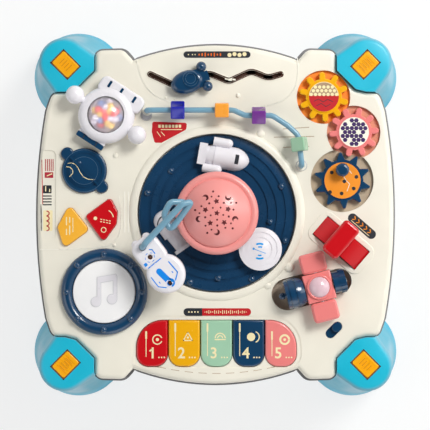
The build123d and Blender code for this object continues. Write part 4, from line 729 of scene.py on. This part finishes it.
def pick(radius):
    """Section of a leg's upper part: a round nose outward and two flanks that spread inward."""
    lean = radians(SPREAD)
    nose_x, nose_y = NOSE_REACH + radius * sin(lean), radius * cos(lean)
    root_y = nose_y + (nose_x - FLANK_END) * tan(lean)
    flank = [(FLANK_END + (nose_x - FLANK_END) * share, root_y + (nose_y - root_y) * share)
             for share in [i / FLANK_STEPS for i in range(FLANK_STEPS)]]
    arc = [around((NOSE_REACH, 0), radius, angle) for angle in nose_angles()]
    return [(x, -y) for x, y in flank] + arc + flank[::-1]


def foot_round(radius):
    """Round section with its points set out as in pick."""
    nose = nose_angles()
    side = [-INNER_ANGLE + (INNER_ANGLE + nose[0]) * i / FLANK_STEPS for i in range(FLANK_STEPS)]
    mirrored = [-angle for angle in side[::-1]]
    return [around((FOOT_REACH, 0), radius, angle) for angle in side + nose + mirrored]


def leg_rings():
    """Outlines and levels from inside the foot, over the flare, to the crown of the cap."""
    rings = [(foot_round(radius), level) for radius, level in RIM]
    low, high = foot_round(FOOT_RADIUS), pick(NOSE_RADIUS + FLARE_END)
    for t in [i / FLARE_STEPS for i in range(1, FLARE_STEPS + 1)]:
        share = 3 * t * t - 2 * t ** 3
        ring = [(a[0] + (b[0] - a[0]) * share, a[1] + (b[1] - a[1]) * share) for a, b in zip(low, high)]
        rings.append((ring, RIM_TOP + (SHOULDER - RIM_TOP) * t))
    for a in [pi / 2 * i / EDGE_STEPS for i in range(EDGE_STEPS + 1)]:
        rings.append((pick(NOSE_RADIUS - EDGE_ROUND * (1 - cos(a))), CAP_LEVEL - EDGE_ROUND * (1 - sin(a))))
    return rings + [(pick(NOSE_RADIUS - inset), level) for inset, level in CROWN]


def leg_mesh():
    """One leg of the rear right corner, cut to the housing's recess and to the latch's window."""
    bm = bmesh.new()
    rings = [ring_of(bm, turned(outline, 45), level) for outline, level in leg_rings()]
    for low, high in zip(rings, rings[1:]):
        wall(bm, low, high)
    bm.faces.new(rings[0][::-1])
    bm.faces.new(rings[-1])
    block = bpy.data.objects.new("leg", mesh_of("leg", bm))
    recess = grown(section_outline("top_shell", SECTION_LEVEL), HOUSING_GAP)
    window = turned(plate(LATCH_REACH, 0, *WINDOW, 0, 2.4), 45)
    cutters = [prism(recess, *RECESS_LEVELS), prism(window, *WINDOW_LEVELS)]
    for cutter in cutters:
        scene.collection.objects.link(cutter)
        cut = block.modifiers.new("cut", "BOOLEAN")
        cut.operation = "DIFFERENCE"
        cut.solver = "EXACT"
        cut.object = cutter
    carved = shape_of("leg", block)
    for cutter in cutters:
        bpy.data.objects.remove(cutter)
    return carved


whole_leg = leg_mesh()
for corner, (side_x, side_y) in CORNERS.items():
    bm = bmesh.new()
    bm.from_mesh(whole_leg)
    bm.transform(Matrix.Diagonal((side_x, side_y, 1, 1)))
    name = f"pick_leg_{corner}"
    piece = add_piece(name, mesh_of(name, bm), "legs", "base")
    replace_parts(piece, f"leg_{corner}")
    soften(piece)


# ---- lip along the seam
LIP_REACH = 3.5
LIP_LOW, LIP_HIGH = 188.1, 190.3
FREE_X, FREE_Y = 136.5, 138.0       # nearer to an axis than this, no leg hides the seam


def lip_strips():
    """Runs of the housing's outline between the corner recesses, each with its outer edge."""
    outline = section_outline("top_shell", SECTION_LEVEL)
    pairs = list(zip(outline, grown(outline, LIP_REACH)))
    free = [abs(x) < FREE_X or abs(y) < FREE_Y for x, y in outline]
    start = free.index(False)
    runs = [[]]
    for pair, is_free in zip(pairs[start:] + pairs[:start], free[start:] + free[:start]):
        if is_free:
            runs[-1].append(pair)
        elif runs[-1]:
            runs.append([])
    return [run for run in runs if run]


bm = bmesh.new()
for run in lip_strips():
    rows = []
    for inner, outer in run:
        corners = ((inner, LIP_LOW), (outer, LIP_LOW), (outer, LIP_HIGH), (inner, LIP_HIGH))
        rows.append([bm.verts.new((x * MM, y * MM, z * MM)) for (x, y), z in corners])
    for first, last in zip(rows, rows[1:]):
        wall(bm, first, last)
    bm.faces.new(rows[0][::-1])
    bm.faces.new(rows[-1])
soften(add_piece("seam_lip", mesh_of("seam_lip", bm), "seam", "base"))


# ---- labels on the play surface
def shell_print(name, look, shapes, **options):
    printed(name, look, "base", "cream_plastic", shapes, **options)


def label(name, layers, **place):
    """Prints of one label. Each layer gives the rest of its name, its look, its lift and its shapes."""
    for rest, look, lift, shapes in layers:
        shell_print(name + rest, look, shapes, lift=lift, **place)


dots = [dot(x, 0, 0.7) for x in (-32, -27.5, -24.5)]
dots += [dot(14 + 5.6 * i, -0.4 + 0.9 * (i % 2), 2.3) for i in range(4)]
bars = [plate(-20 + 3.4 * i, 0, 1.5, 2.2 + 1.1 * (i % 3), 0, 0.5) for i in range(8)]
label("rear_label", [("", "dark_print", 0.12, [plate(0, 0, 75, 7.3, 0, 3.6)]),
                     ("_bars", "orange_print", 0.2, bars),
                     ("_dots", "print", 0.2, dots)], spot=(1.68, 179.09))

BAR_HEIGHTS = [1.2, 2.6, 4.2, 2.4, 1.6, 4.4, 3.0, 3.6, 2.2, 4.6, 3.2,
               4.2, 2.4, 4.6, 3.4, 1.8, 2.8, 4.4, 1.6, 3.2, 2.2, 1.2]
black_end = [around((-33.6, 0), 4.3, angle) for angle in range(90, 271, 15)] + [(-17, -4.3), (-17, 4.3)]
bars = [plate(-14 + 2.2 * i, 0, 0.8, height, 0, 0.3) for i, height in enumerate(BAR_HEIGHTS)]
dots = [dot(-32 + 3.4 * i, 0, 0.9) for i in range(4)]
label("music_label", [("_red", "red_print", 0.12, [plate(0, 0, 75.4, 8.4, 0, 4.1)]),
                      ("_black", "dark_print", 0.16, [black_end]),
                      ("_bars", "print", 0.2, bars),
                      ("_dots", "print", 0.22, dots)], spot=(2.13, -109.2))

REAR_SIGN = [(-70.7, 104.0), (-31.9, 102.7), (-32.8, 95.1), (-60.6, 80.3), (-68.2, 80.3), (-71.3, 92.4)]
marks = [plate(-62.7 + 3.81 * i, 98.9, 2.8, 3.4, 0, 0.6) for i in range(7)]
marks.append(plate(-49.3, 95.1, 24, 0.9, 0, 0.3))
marks += stroke([(-65.3, 92.6), (-61.5, 87.2)], 0.7) + stroke([(-61.0, 92.6), (-57.0, 88.4)], 0.7)
label("rear_sign", [("", "red_print", 0.12, [rounded(REAR_SIGN, 2.6)]), ("_marks", "print", 0.17, marks)])

chevrons = [shape for x in [-13 + 5.6 * i for i in range(5)]
            for shape in stroke([(x, 3.1), (x + 2.6, 1.0), (x, -1.1)], 1.1)]
label("lever_label", [("", "dark_print", 0.12, [plate(0, 0, 38, 10.4, 0, 5.1)]),
                      ("_marks", "amber_print", 0.2, chevrons),
                      ("_line", "print", 0.2, [plate(0, -3.0, 27, 0.7, 0, 0.3)])],
      spot=(164.0, -13.1), turn=-41)

SPEED_LINES = [[(75.6, 95.8), (104.7, 97.7)], [(65.5, 86.6), (110.3, 87.5)], [(75.6, 75.2), (104.7, 76.3)]]
lines = [shape for line in SPEED_LINES for shape in stroke(line, 0.7)]
shell_print("speed_lines", "tan_print", lines, lift=0.1)

# left edge panel: plain stripes, bars and loops
stripes = [plate(-190.5 + 2.13 * i, 55.4, 1.0, 13.5, 0, 0.2) for i in range(5)]
steps = [plate(-188.7, 20.7 - 3.25 * i, 10.2, 1.3, 0, 0.2) for i in range(4)]
loops = [bow(-188.9, 1.2 - 5.6 * i, 2.5, -100, 100, 1.3) for i in range(4)]
two_bars = [plate(-190.3, 28.8, 1.2, 6.0, 0, 0.3), plate(-185.8, 27.0, 1.2, 3.6, 0, 0.3)]
label("panel_", [("stripes", "rose_print", 0.12, [*stripes, plate(-186.6, 44.2, 9.6, 6.4, 0, 0.8)]),
                 ("stripe_mark", "print", 0.2,
                  [plate(-186.6, 44.2, 5.4, 1.2, 25, 0.4), dot(-183.6, 45.4, 0.8)]),
                 ("square", "dark_print", 0.12, [plate(-188.5, 28.2, 9.6, 9.0, 0, 0.8), *steps]),
                 ("square_mark", "print", 0.2, two_bars),
                 ("beige", "print", 0.12, [plate(-187.8, -6.8, 10.4, 23.0, 0, 1.2)]),
                 ("loops", "rose_print", 0.2, loops),
                 ("red_line", "red_print", 0.12, [plate(-194.1, 36.4, 0.8, 50, 1.2, 0.3)]),
                 ("dark_line", "dark_print", 0.12, [plate(-195.22, -3.36, 1.1, 30, 0.8, 0.3)])],
      over=("top_shell",))

# broken line along the front edge
DASH_CENTER, DASH_REACH, DASH_STEP = (1.0, 112.0), 290.0, 3.05
leans = [(i - 5) * DASH_STEP for i in range(11)]
dashes = [plate(*around(DASH_CENTER, DASH_REACH, lean - 90), 9.5, 0.55, lean, 0.25) for lean in leans]
shell_print("front_dashes", "tan_print", dashes, lift=0.05)

# ---- key prints
KEY_TOP = top_of(KEYS[0])
MOTIFS = [
    [bow(0, 0, 5.2, 20, 340, 1.3), dot(0, 0, 1.8)],
    stroke([(-5, -4), (0, 5), (5, -4)], 1.2, True) + [dot(0, -0.8, 1.3)],
    [bow(0, -1.5, 5.6, 0, 180, 1.3), bow(0, -1.5, 2.8, 0, 180, 1.2), plate(0, -3, 12.6, 1.3, 0, 0.6)],
    [dot(-1.5, 0, 4.6), bow(1.5, 0, 6.2, -70, 70, 1.2)],
    [bow(0, 0, 5.0, 0, 355, 2.2), dot(0, 0, 1.5)],
]
for i, name in enumerate(KEYS):
    key_x = middle(name)[0]
    key_slot = f"{name.split('_')[2]}_plastic"
    is_first, is_last = i == 0, i == len(KEYS) - 1
    shift = 3.8 if is_first else 0.0        # makes room for the flag of the numeral 1
    rise = -3.0 if is_first or is_last else 0.0
    drop = -9.0 if is_last else 0.0
    if is_first:
        shapes = [plate(-6.5, -149.3, 0.9, 19.6, 0, 0.1), plate(-6.5, -135, 2.0, 9, 0, 0.9),
                  plate(-1.2, -151.9, 3.6, 1.6, 38, 0.3)]
    else:
        shapes = [plate(-10.0, -145 + drop / 2, 0.9, 27 + drop, 0, 0.1),
                  plate(-10.0, -126.5 + drop, 2.0, 10, 0, 0.9)]
    shapes += [turned(shape, 0, 4.2 + shift / 2, -137.0 + rise) for shape in MOTIFS[i]]
    shapes += [dot(6.0 + shift / 2 + 3.0 * k, -160.0, 0.9) for k in range(3)]
    printed(f"{name}_motif", "print", name, key_slot, shapes, spot=(key_x, 0), level=KEY_TOP)
    numeral(f"{name}_numeral", str(i + 1), name, (key_x - 3.0 + shift, -155.6), KEY_TOP)

# ---- gears
GEAR_TOP = top_of("gear_yellow")
DISC_RADIUS = 16.6
BAND_LEVEL = 1.2            # where the red part of the yellow gear's disc ends
PINK_CELLS_LEFT_OUT = {(0, 1), (2, -1), (-2, -1), (-1, 2)}
NAVY_DOTS = ((3, 16.5), (-12, 9), (15.5, 4), (12.5, -9), (-1, -14.5), (-14, -13), (2, -1))


def gear_print(color, what, look, shapes, lift=0.12):
    body = f"gear_{color}"
    printed(f"{color}_gear_{what}", look, body, f"{color}_plastic", shapes, GEARS[body], level=GEAR_TOP,
            lift=lift)


def half_disc(radius, cut, below):
    """Part of a disc below or above a level line."""
    kept = [point for point in dot(0, 0, radius, 64) if (point[1] < cut) == below]
    reach = (radius * radius - cut * cut) ** 0.5
    kept += [(-reach, cut), (reach, cut)]
    kept.sort(key=lambda point: atan2(point[1] - cut + (0.01 if below else -0.01), point[0]))
    return kept


def comb(columns, rows, wide, high, x_start, y_start, limit, left_out=()):
    """Places of a honeycomb's cells inside a radius."""
    spots = [(wide * (column + row % 2 / 2) + x_start, high * row + y_start)
             for row in rows for column in columns if (row, column) not in left_out]
    return [spot for spot in spots if hypot(*spot) < limit]


gear_print("yellow", "disc", "print", [dot(0, 0, DISC_RADIUS, 56)])
gear_print("yellow", "red", "red_print", [half_disc(DISC_RADIUS, BAND_LEVEL, True)], 0.2)
cells = [dot(*spot, 2.05, 6) for spot in comb(range(-3, 4), range(4), 4.7, 4.1, 0, 2.6, 14.6)]
gear_print("yellow", "comb", "tan_print", [half_disc(DISC_RADIUS - 0.6, BAND_LEVEL, False)], 0.16)
gear_print("yellow", "cells", "print", cells, 0.22)
waves = stroke([(-11, -5), (-6, -2.5), (-1, -6), (4, -3), (10, -5.5)], 0.7)
waves += stroke([(-8, -10), (-3, -7.5), (2, -11), (7, -8.5)], 0.7)
gear_print("yellow", "waves", "dark_print", waves, 0.28)

gear_print("pink", "disc", "white_print", [dot(0, 0, DISC_RADIUS, 56)])
spots = comb(range(-4, 5), range(-3, 4), 5.0, 4.35, 0, 0, 14.4, PINK_CELLS_LEFT_OUT)
gear_print("pink", "dots", "purple_print", [dot(*spot, 2.62, 6) for spot in spots], 0.2)

gear_print("navy", "disc", "amber_print", [dot(0, 0, 20.2, 64)])
gear_print("navy", "dots", "dark_print", [dot(x, y, 2.1) for x, y in NAVY_DOTS], 0.2)
lines = stroke([(-7, 11), (0, 7), (7, 12), (10, 8)], 0.7) + stroke([(0, 7), (4, 0), (8, -4), (5, -12)], 0.7)
gear_print("navy", "lines", "white_print", lines, 0.2)


# ---- round figure
def figure_print(name, look, shapes, level, lift, deep):
    printed(name, look, "helmet", "navy_plastic", shapes, FIGURE, -33.0, level, None, lift, deep)


BELT_Y = -33.5
figure_print("back_bars", "navy", [plate(x, 31, 2.8, 7.8, 0, 0.9) for x in (-15, 0, 17)], 225.2, 0.2, 0.9)
figure_print("belt", "navy", [plate(0, BELT_Y, 33.8, 5.9, 0, 1.4)], 221.2, 0.3, 8.2)
buckles = [plate(x, BELT_Y, 1.2, 5.0, 0, 0.3) for x in (-8, 8)]
figure_print("belt_buckles", "dark_print", buckles, 221.5, 0.2, 0.3)

# rattle balls in two layers, spread as a sunflower's seeds
LAYER = 14
BALL_ORDER = ["ball_red", "white", "ball_yellow", "ball_red", "ball_blue", "white", "ball_yellow"]
ball_spots = {"ball_red": [], "ball_yellow": [], "ball_blue": [], "white": []}
for i in range(2 * LAYER):
    shrink, level = (1.0, 226.6) if i < LAYER else (0.8, 230.0)
    reach = 15.6 * ((i % LAYER + 0.5) / LAYER) ** 0.5 * shrink
    ball_spots[BALL_ORDER[i * 3 % 7]].append((*around(FIGURE, reach, 137.5 * i), level))
for look, spots in ball_spots.items():
    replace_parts(balls(f"rattle_{look}", look, "helmet", spots, 4.2), "helmet_beads")

# ---- lamp
DOME_RADIUS, DOME_CENTER = 52.15, 202.85


def dome_level(x, y):
    """Level of the lamp's dome over a place."""
    away = hypot(x - LAMP[0], y - LAMP[1])
    return DOME_CENTER + (DOME_RADIUS ** 2 - min(away, 50.0) ** 2) ** 0.5


def star(x, y, radius, turn):
    return [around((x, y), radius * (1 - 0.48 * (i % 2)), turn + 36 * i) for i in range(10)]


def crescent(x, y, radius, turn):
    outer = [around((0, 0), radius, angle) for angle in range(50, 311, 20)]
    inner = [around((radius * 0.38, 0), radius * 0.78, angle) for angle in range(290, 69, -20)]
    return turned(outer + inner, turn, x, y)


# distance from the lamp's middle, angle, radius
LAMP_DOTS = ((13.5, 56, 1.2), (24, 28, 1.2), (7.2, 56, 1.0), (18.5, 12, 1.1), (19, 36, 1.0))
# dark red-brown shapes over the lamp shade's cut-outs, and more between them, stand in for the dark seen
# through the holes: painted shade
hole_shades = [star(*LAMP, 3.3, 8)]
for i in range(5):
    hole_shades.append(star(*around(LAMP, 13, 72 * i + 20), 3.4, 31 * i))
    hole_shades.append(crescent(*around(LAMP, 21, 72 * i + 54), 3.3, 142 * i + 78.4))
    hole_shades += [dot(*around(LAMP, reach, 72 * i + turn), radius, 14) for reach, turn, radius in LAMP_DOTS]
printed("lamp_hole_shade", "cut_out_painted_shade", "lamp", "lamp_pink", hole_shades, over=dome_level, lift=0.08, deep=0.25)

# ---- rocket, capsule, dish
printed("rocket_window", "dark_print", "turntable", "white_plastic", [plate(12, 0, 4.2, 10.7, 0, 0.3)],
        spot=(12.0, 63.5), turn=-10, level=216.4, lift=0.1, deep=0.3)
printed("capsule_band", "dark_print", "turntable", "white_plastic", [bow(-7, 0, 10.6, 105, 255, 1.3, 24)],
        spot=(-50.0, -17.0), turn=-55, over=("capsule",), lift=0.15)
DISH_MARK = (49.3, -40.85)
WAVES = ((8.4, 62, 118, 2.0), (8.4, 242, 298, 2.0), (4.8, 60, 112, 1.6), (4.8, 245, 292, 1.6))
marks = [dot(42.51, -38.18, 1.3, 16)] + stroke([(44.18, -38.85), (55.76, -43.3)], 0.6)
marks += [bow(*DISH_MARK, *wave) for wave in WAVES]
printed("dish_marks", "azure_print", "dish", "white_plastic", marks, over=("dish",), lift=0.12, deep=0.2)


# ---- shuttle
def shuttle_print(name, shapes, level):
    printed(name, "blue_print", "lamp", "white_plastic", shapes, level=level, over=("shuttle",), deep=0.2)


REAR_RIVET, FRONT_RIVET = (-71.45, -46.91), (-48.94, -74.32)
shapes = stroke([(-61.36, -62.12), FRONT_RIVET], 6.6) + loop(*FRONT_RIVET, 3.9, 2.0)
shapes += stroke([(-51.01, -51.44), (-41.42, -62.66), (-43.49, -71.38)], 1.3)
shapes += stroke([(-69.96, -68.77), (-62.23, -78.79), (-53.73, -79.66)], 1.1)
shapes += stroke([(-72.91, -58.52), (-59.83, -48.06)], 1.3)
shuttle_print("shuttle_bar", shapes, 253.5)
shapes = stroke([(-72.1, -38.3), (-69.4, -38.1), (-66.1, -42.4)], 1.1)
shapes += [plate(-76.0, -54.9, 3.6, 3.6, 40, 0.3)]
shapes += [plate(x, y, 2.4, 1.0, -50, 0.2) for x, y in ((-46.9, -62.7), (-60.8, -74.2))]
shapes += [bow(*REAR_RIVET, 5.2, 60 * k, 60 * k + 32, 0.6) for k in range(6)]
shuttle_print("shuttle_marks", shapes, 252)
rivets = [(-71.54, -46.97, 250.3), (-49.04, -74.49, 250.3)]
balls("shuttle_rivets", "brown", "lamp", rivets, 2.5, 0.8)

# ---- buttons and drum
PLANET = (-146.8, 49.0)
DRUM = middle("drum_ring")
LONG_LINE = [(-165.24, 57.09), (-160.88, 57.65), (-156.74, 56.08), (-153.62, 52.4), (-151.38, 47.26),
             (-147.58, 42.12), (-142.0, 39.32), (-135.07, 38.88)]
SHORT_LINE = [(-166.35, 53.4), (-162.55, 52.84), (-159.65, 49.94), (-159.31, 46.14), (-163.0, 42.34)]
lines = stroke(LONG_LINE, 0.8) + stroke(SHORT_LINE, 0.8)
printed("planet_lines", "print", "planet_button", "navy_plastic", lines, over=("planet_button",), level=214,
        lift=0.1, deep=0.2)
bars = [plate(-2.4, 6, 1.3, 9.5, 0, 0.6), plate(1.2, 7.4, 1.3, 6.5, 0, 0.6), plate(-2.4, -6, 1.3, 7, 0, 0.6),
        plate(1.2, -4.2, 1.3, 10.5, 0, 0.6), plate(4.8, 1.5, 0.9, 16, 0, 0.4)]
BUTTON_TOP = top_of("red_button")
printed("yellow_button_marks", "print", "yellow_button", "yellow_plastic", bars, spot=(-164.2, -13.4),
        level=BUTTON_TOP)
shapes = [plate(-3.4 + 3.2 * k, -0.6 * k + y, 2.2, 1.0, -12, 0.4) for k in range(4) for y in (-1.3, 1.3)]
shapes += [bow(0, 2, 10.4, 10, 62, 1.1), dot(-9.8, 2.4, 2.0), *loop(-0.6, -10.5, 2.7, 0.9)]
printed("red_button_marks", "print", "red_button", "red_plastic", shapes, spot=(-124.4, -6.7),
        level=BUTTON_TOP)

# raised note: a wider grey print under a white one, which is painted shadow round the note, in three groups
# at their own heights
NOTE_HEADS = [(-9, -11), (9, -8)]
NOTE_BARS = [((-5.6, 2), 3.6, 26, 0), ((12.4, 5), 3.6, 26, 0), ((3.4, 15), 21, 6, 9.5)]
for name, look, more, level in (("note_shade", "pad_painted_shadow", 1.6, 215.35), ("note", "white", 0.0, 216.1)):
    heads = [dot(*spot, 5.2 + more / 2) for spot in NOTE_HEADS]
    bars = [plate(*spot, wide + more, high + more, turn, 1.2) for spot, wide, high, turn in NOTE_BARS]
    for i, group in enumerate((heads, bars[:2], bars[2:])):
        printed(f"drum_{name}_{i}", look, "drum_pad", "silicone_pad", group, spot=DRUM, level=level,
                lift=0.06 + 0.05 * i, deep=0.2)

# ---- arm
ARM = [(-35.5, 13.5, 237.0), (-35.5, 13.5, 252), (-49, 13.5, 256), (-56, 0.5, 257), (-50, -18.5, 256),
       (-38, -3, 259), (-25.5, 14, 266), (-36, 11, 269), (-76, -31, 264.4), (-79.5, -35.5, 256),
       (-79.5, -35.5, 247.5)]
ARM_BENDS = [5, 7, 8, 5.2, 12, 4.5, 5, 4.5, 3]
ARM_RADIUS = 3.5

curve = bpy.data.curves.new("arm_line", "CURVE")
curve.dimensions = "3D"
curve.bevel_depth = ARM_RADIUS * MM
curve.bevel_resolution = 8
curve.use_fill_caps = True
line = curve.splines.new("POLY")
path = bent(ARM, ARM_BENDS)
line.points.add(len(path) - 1)
for point, spot in zip(line.points, path):
    point.co = (*(spot * MM), 1)
data = shape_of("arm_tube", bpy.data.objects.new("arm_line", curve))
for face in data.polygons:
    face.use_smooth = True
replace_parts(add_piece("arm_tube", data, "wire", "lamp"), "arm")

# ---- latches
GAP_CORNERS = [(-13.2, -10.2), (13.2, -10.2), (13.2, 10.2), (-13.2, 10.2)]
gap_shade_outline = stroke(GAP_CORNERS, 1.2, True)
# darker orange lines on each latch button stand in for the shade of its ribs: painted shade
ribs = [plate(-5.4 + 3.6 * k, 0, 0.7, 9.5 - 1.6 * (k % 2), 0, 0.3) for k in range(4)]
for corner, (side_x, side_y) in CORNERS.items():
    turn = atan2(side_y, side_x) * 180 / pi
    place = {"spot": around((0, 0), LATCH_REACH, turn), "turn": turn, "lift": 0.1}
    button = f"latch_button_{corner}"
    # dark brown outline printed in the gap round each latch button: painted shade
    printed(f"latch_gap_painted_shade_{corner}", "latch_gap_painted_shade", "base", "cyan_plastic", gap_shade_outline, level=213.95, deep=1.2,
            **place)
    printed(f"latch_ribs_{corner}", "latch_rib_painted_shade", button, "orange_plastic", ribs, over=(button,), level=214.5,
            deep=0.25, **place)

# ---- small trim
SOCKETS = ((-77.6, 111.3), (96.3, 55.0))
PLATTER_STUDS = [(-50.0, 49.0), (-76.5, 24.0), (74.0, 31.5), (61.0, -8.5), (77.5, -29.5), (3.0, -71.5),
                 (40.5, -72.5), (-28.5, -76.0)]
balls("wire_washers", "grey", "base", [(*spot, 210.2) for spot in SOCKETS], 6.6, 0.26)
shell_print("washer_rings", "dark_print", [shape for spot in SOCKETS for shape in loop(*spot, 4.5, 0.5, 3)],
            level=211.3, lift=0.1)
studs = [(*spot, 206.6) for spot in PLATTER_STUDS]
balls("platter_studs", "navy", "turntable", studs, 3.9, 0.8)
studs = [(*around(DRUM, 42, 45 * i), 217.4) for i in range(8)]
balls("drum_ring_studs", "navy", "base", studs, 3.6, 0.9)

# soft raised lines of the shell, in a cream lighter than the shell's that is painted highlight
RELIEF = {
    "panel_edge": [(-196.6, -39.2), (-151.8, -38.6), (-122.6, -35.8), (-111.4, -29.7), (-106.4, -18.5),
                   (-105.3, 0.6), (-108.1, 20.7)],
    "track_edge": [(91.9, 175.3), (92.6, 155.1), (88.5, 139.4), (77.8, 128.2), (61.0, 122.1), (40.9, 120.4)],
    "track_edge_left": [(-87.9, 173.0), (-85.1, 157.4), (-77.8, 141.7), (-65.5, 131.6), (-51.0, 126.6)],
}
for name, points in RELIEF.items():
    shell_print(name, "raised_line_painted_highlight", stroke(rounded_path(points), 0.9), lift=0.35, deep=0.6)
# the ribs are in the same lighter cream: painted highlight
ribs = [plate(x, 2.8, 1.5, 46, 0, 0.7) for x in (-101.92, -97.44)]
shell_print("vertical_ribs", "raised_line_painted_highlight", ribs, lift=0.4, deep=0.7)

# lighter navy rings on the raised rims of the planet button and the ship: painted highlight
rings = loop(*PLANET, 23.4, 0.5) + loop(*PLANET, 15.4, 0.4)
printed("planet_rings", "navy_painted_highlight", "planet_button", "navy_plastic", rings, over=("planet_button",),
        level=213.5, lift=0.08, deep=0.2)
printed("ship_rings", "navy_painted_highlight", "ship_slider", "navy_plastic", loop(5, 0, 8.4, 0.5) + loop(5, 0, 5.6, 0.5),
        spot=(-32.5, 149.7), turn=18, over=("ship_slider",), level=222, lift=0.08, deep=0.2)

# ---- wavy slot
TRACK = [(-73, 157), (-47, 145), (-7, 158), (15, 149), (40, 160.5), (59, 153), (73, 157)]
TRACK_BENDS = [12, 14, 10, 12, 16]
SHADE_OFFSET, SHADE_WIDTH = 2.95, 1.1
SATELLITE = (16.5, 151.5)

track = bent(TRACK, TRACK_BENDS)
# brown strips along both edges of the slot widen its dark look: painted shade
edge_shades = [*stroke(beside(track, SHADE_OFFSET), SHADE_WIDTH), *stroke(beside(track, -SHADE_OFFSET), SHADE_WIDTH),
        bow(*TRACK[0], SHADE_OFFSET, 65, 245, SHADE_WIDTH), bow(*TRACK[-1], SHADE_OFFSET, -155, 100, SHADE_WIDTH)]
shell_print("track_edge_painted_shade", "brown", edge_shades, over=("top_shell",), lift=0.1, deep=0.5)
# brown strip under the slot, where only the dark inside shows: painted shade
shell_print("track_painted_shade", "brown", stroke(TRACK, 11), level=204.6, lift=0.0, deep=0.8)
wings = [plate(4.2 * side, -0.3 * side, 3.6, 1.8, -8, 0.3) for side in (-1, 1)]
shell_print("track_mark", "white_print", [plate(0, 0, 4.2, 3.6, -8, 0.5), *wings], spot=SATELLITE, lift=0.3,
            deep=1.2)

# ---- roller wells
WELL_TURN = 14.5
WELL_FLOOR, WELL_RIM = 199.15, 209.8


def pocket_liner(name, reach, half):
    """Lining of a round-ended roller well: floor and walls."""
    side = 1 if reach > 0 else -1
    start = -90 if side > 0 else 90
    end = [around((reach, 0), half, start + 9 * i) for i in range(21)]
    outline = turned([(0.0, -side * half), *end, (0.0, side * half)], WELL_TURN, *middle("joint_box"))
    bm = bmesh.new()
    floor = ring_of(bm, outline, WELL_FLOOR)
    bm.faces.new(floor)
    wall(bm, floor, ring_of(bm, outline, WELL_RIM), closed=False)
    add_piece(name, mesh_of(name, bm), "taupe", "base")


pocket_liner("left_pocket", -35.5, 17.65)
pocket_liner("right_pocket", 24.5, 13.65)

# ---- floor
bpy.ops.mesh.primitive_plane_add(size=8, location=(0, 0, -0.0005))
ground = bpy.context.object
ground.name = "ground"
graph = Graph(bpy.data.materials.new("ground"))
base = graph.mix(graph.noise(3, 2), (0.93, 0.93, 0.93, 1), (0.96, 0.96, 0.96, 1))
graph.set(Base_Color=base, Roughness=0.9)
glow = graph.add("ShaderNodeEmission")
rays = graph.add("ShaderNodeLightPath").outputs
seen = graph.math("MAXIMUM", graph.math("MAXIMUM", rays["Is Camera Ray"], rays["Is Glossy Ray"]),
                  rays["Is Transmission Ray"])
surface = graph.blend(graph.math("MULTIPLY", seen, 0.75), graph.shader.outputs[0], glow.outputs[0])
graph.link(surface, graph.tree.nodes["Material Output"].inputs["Surface"])
ground.data.materials.append(graph.owner)
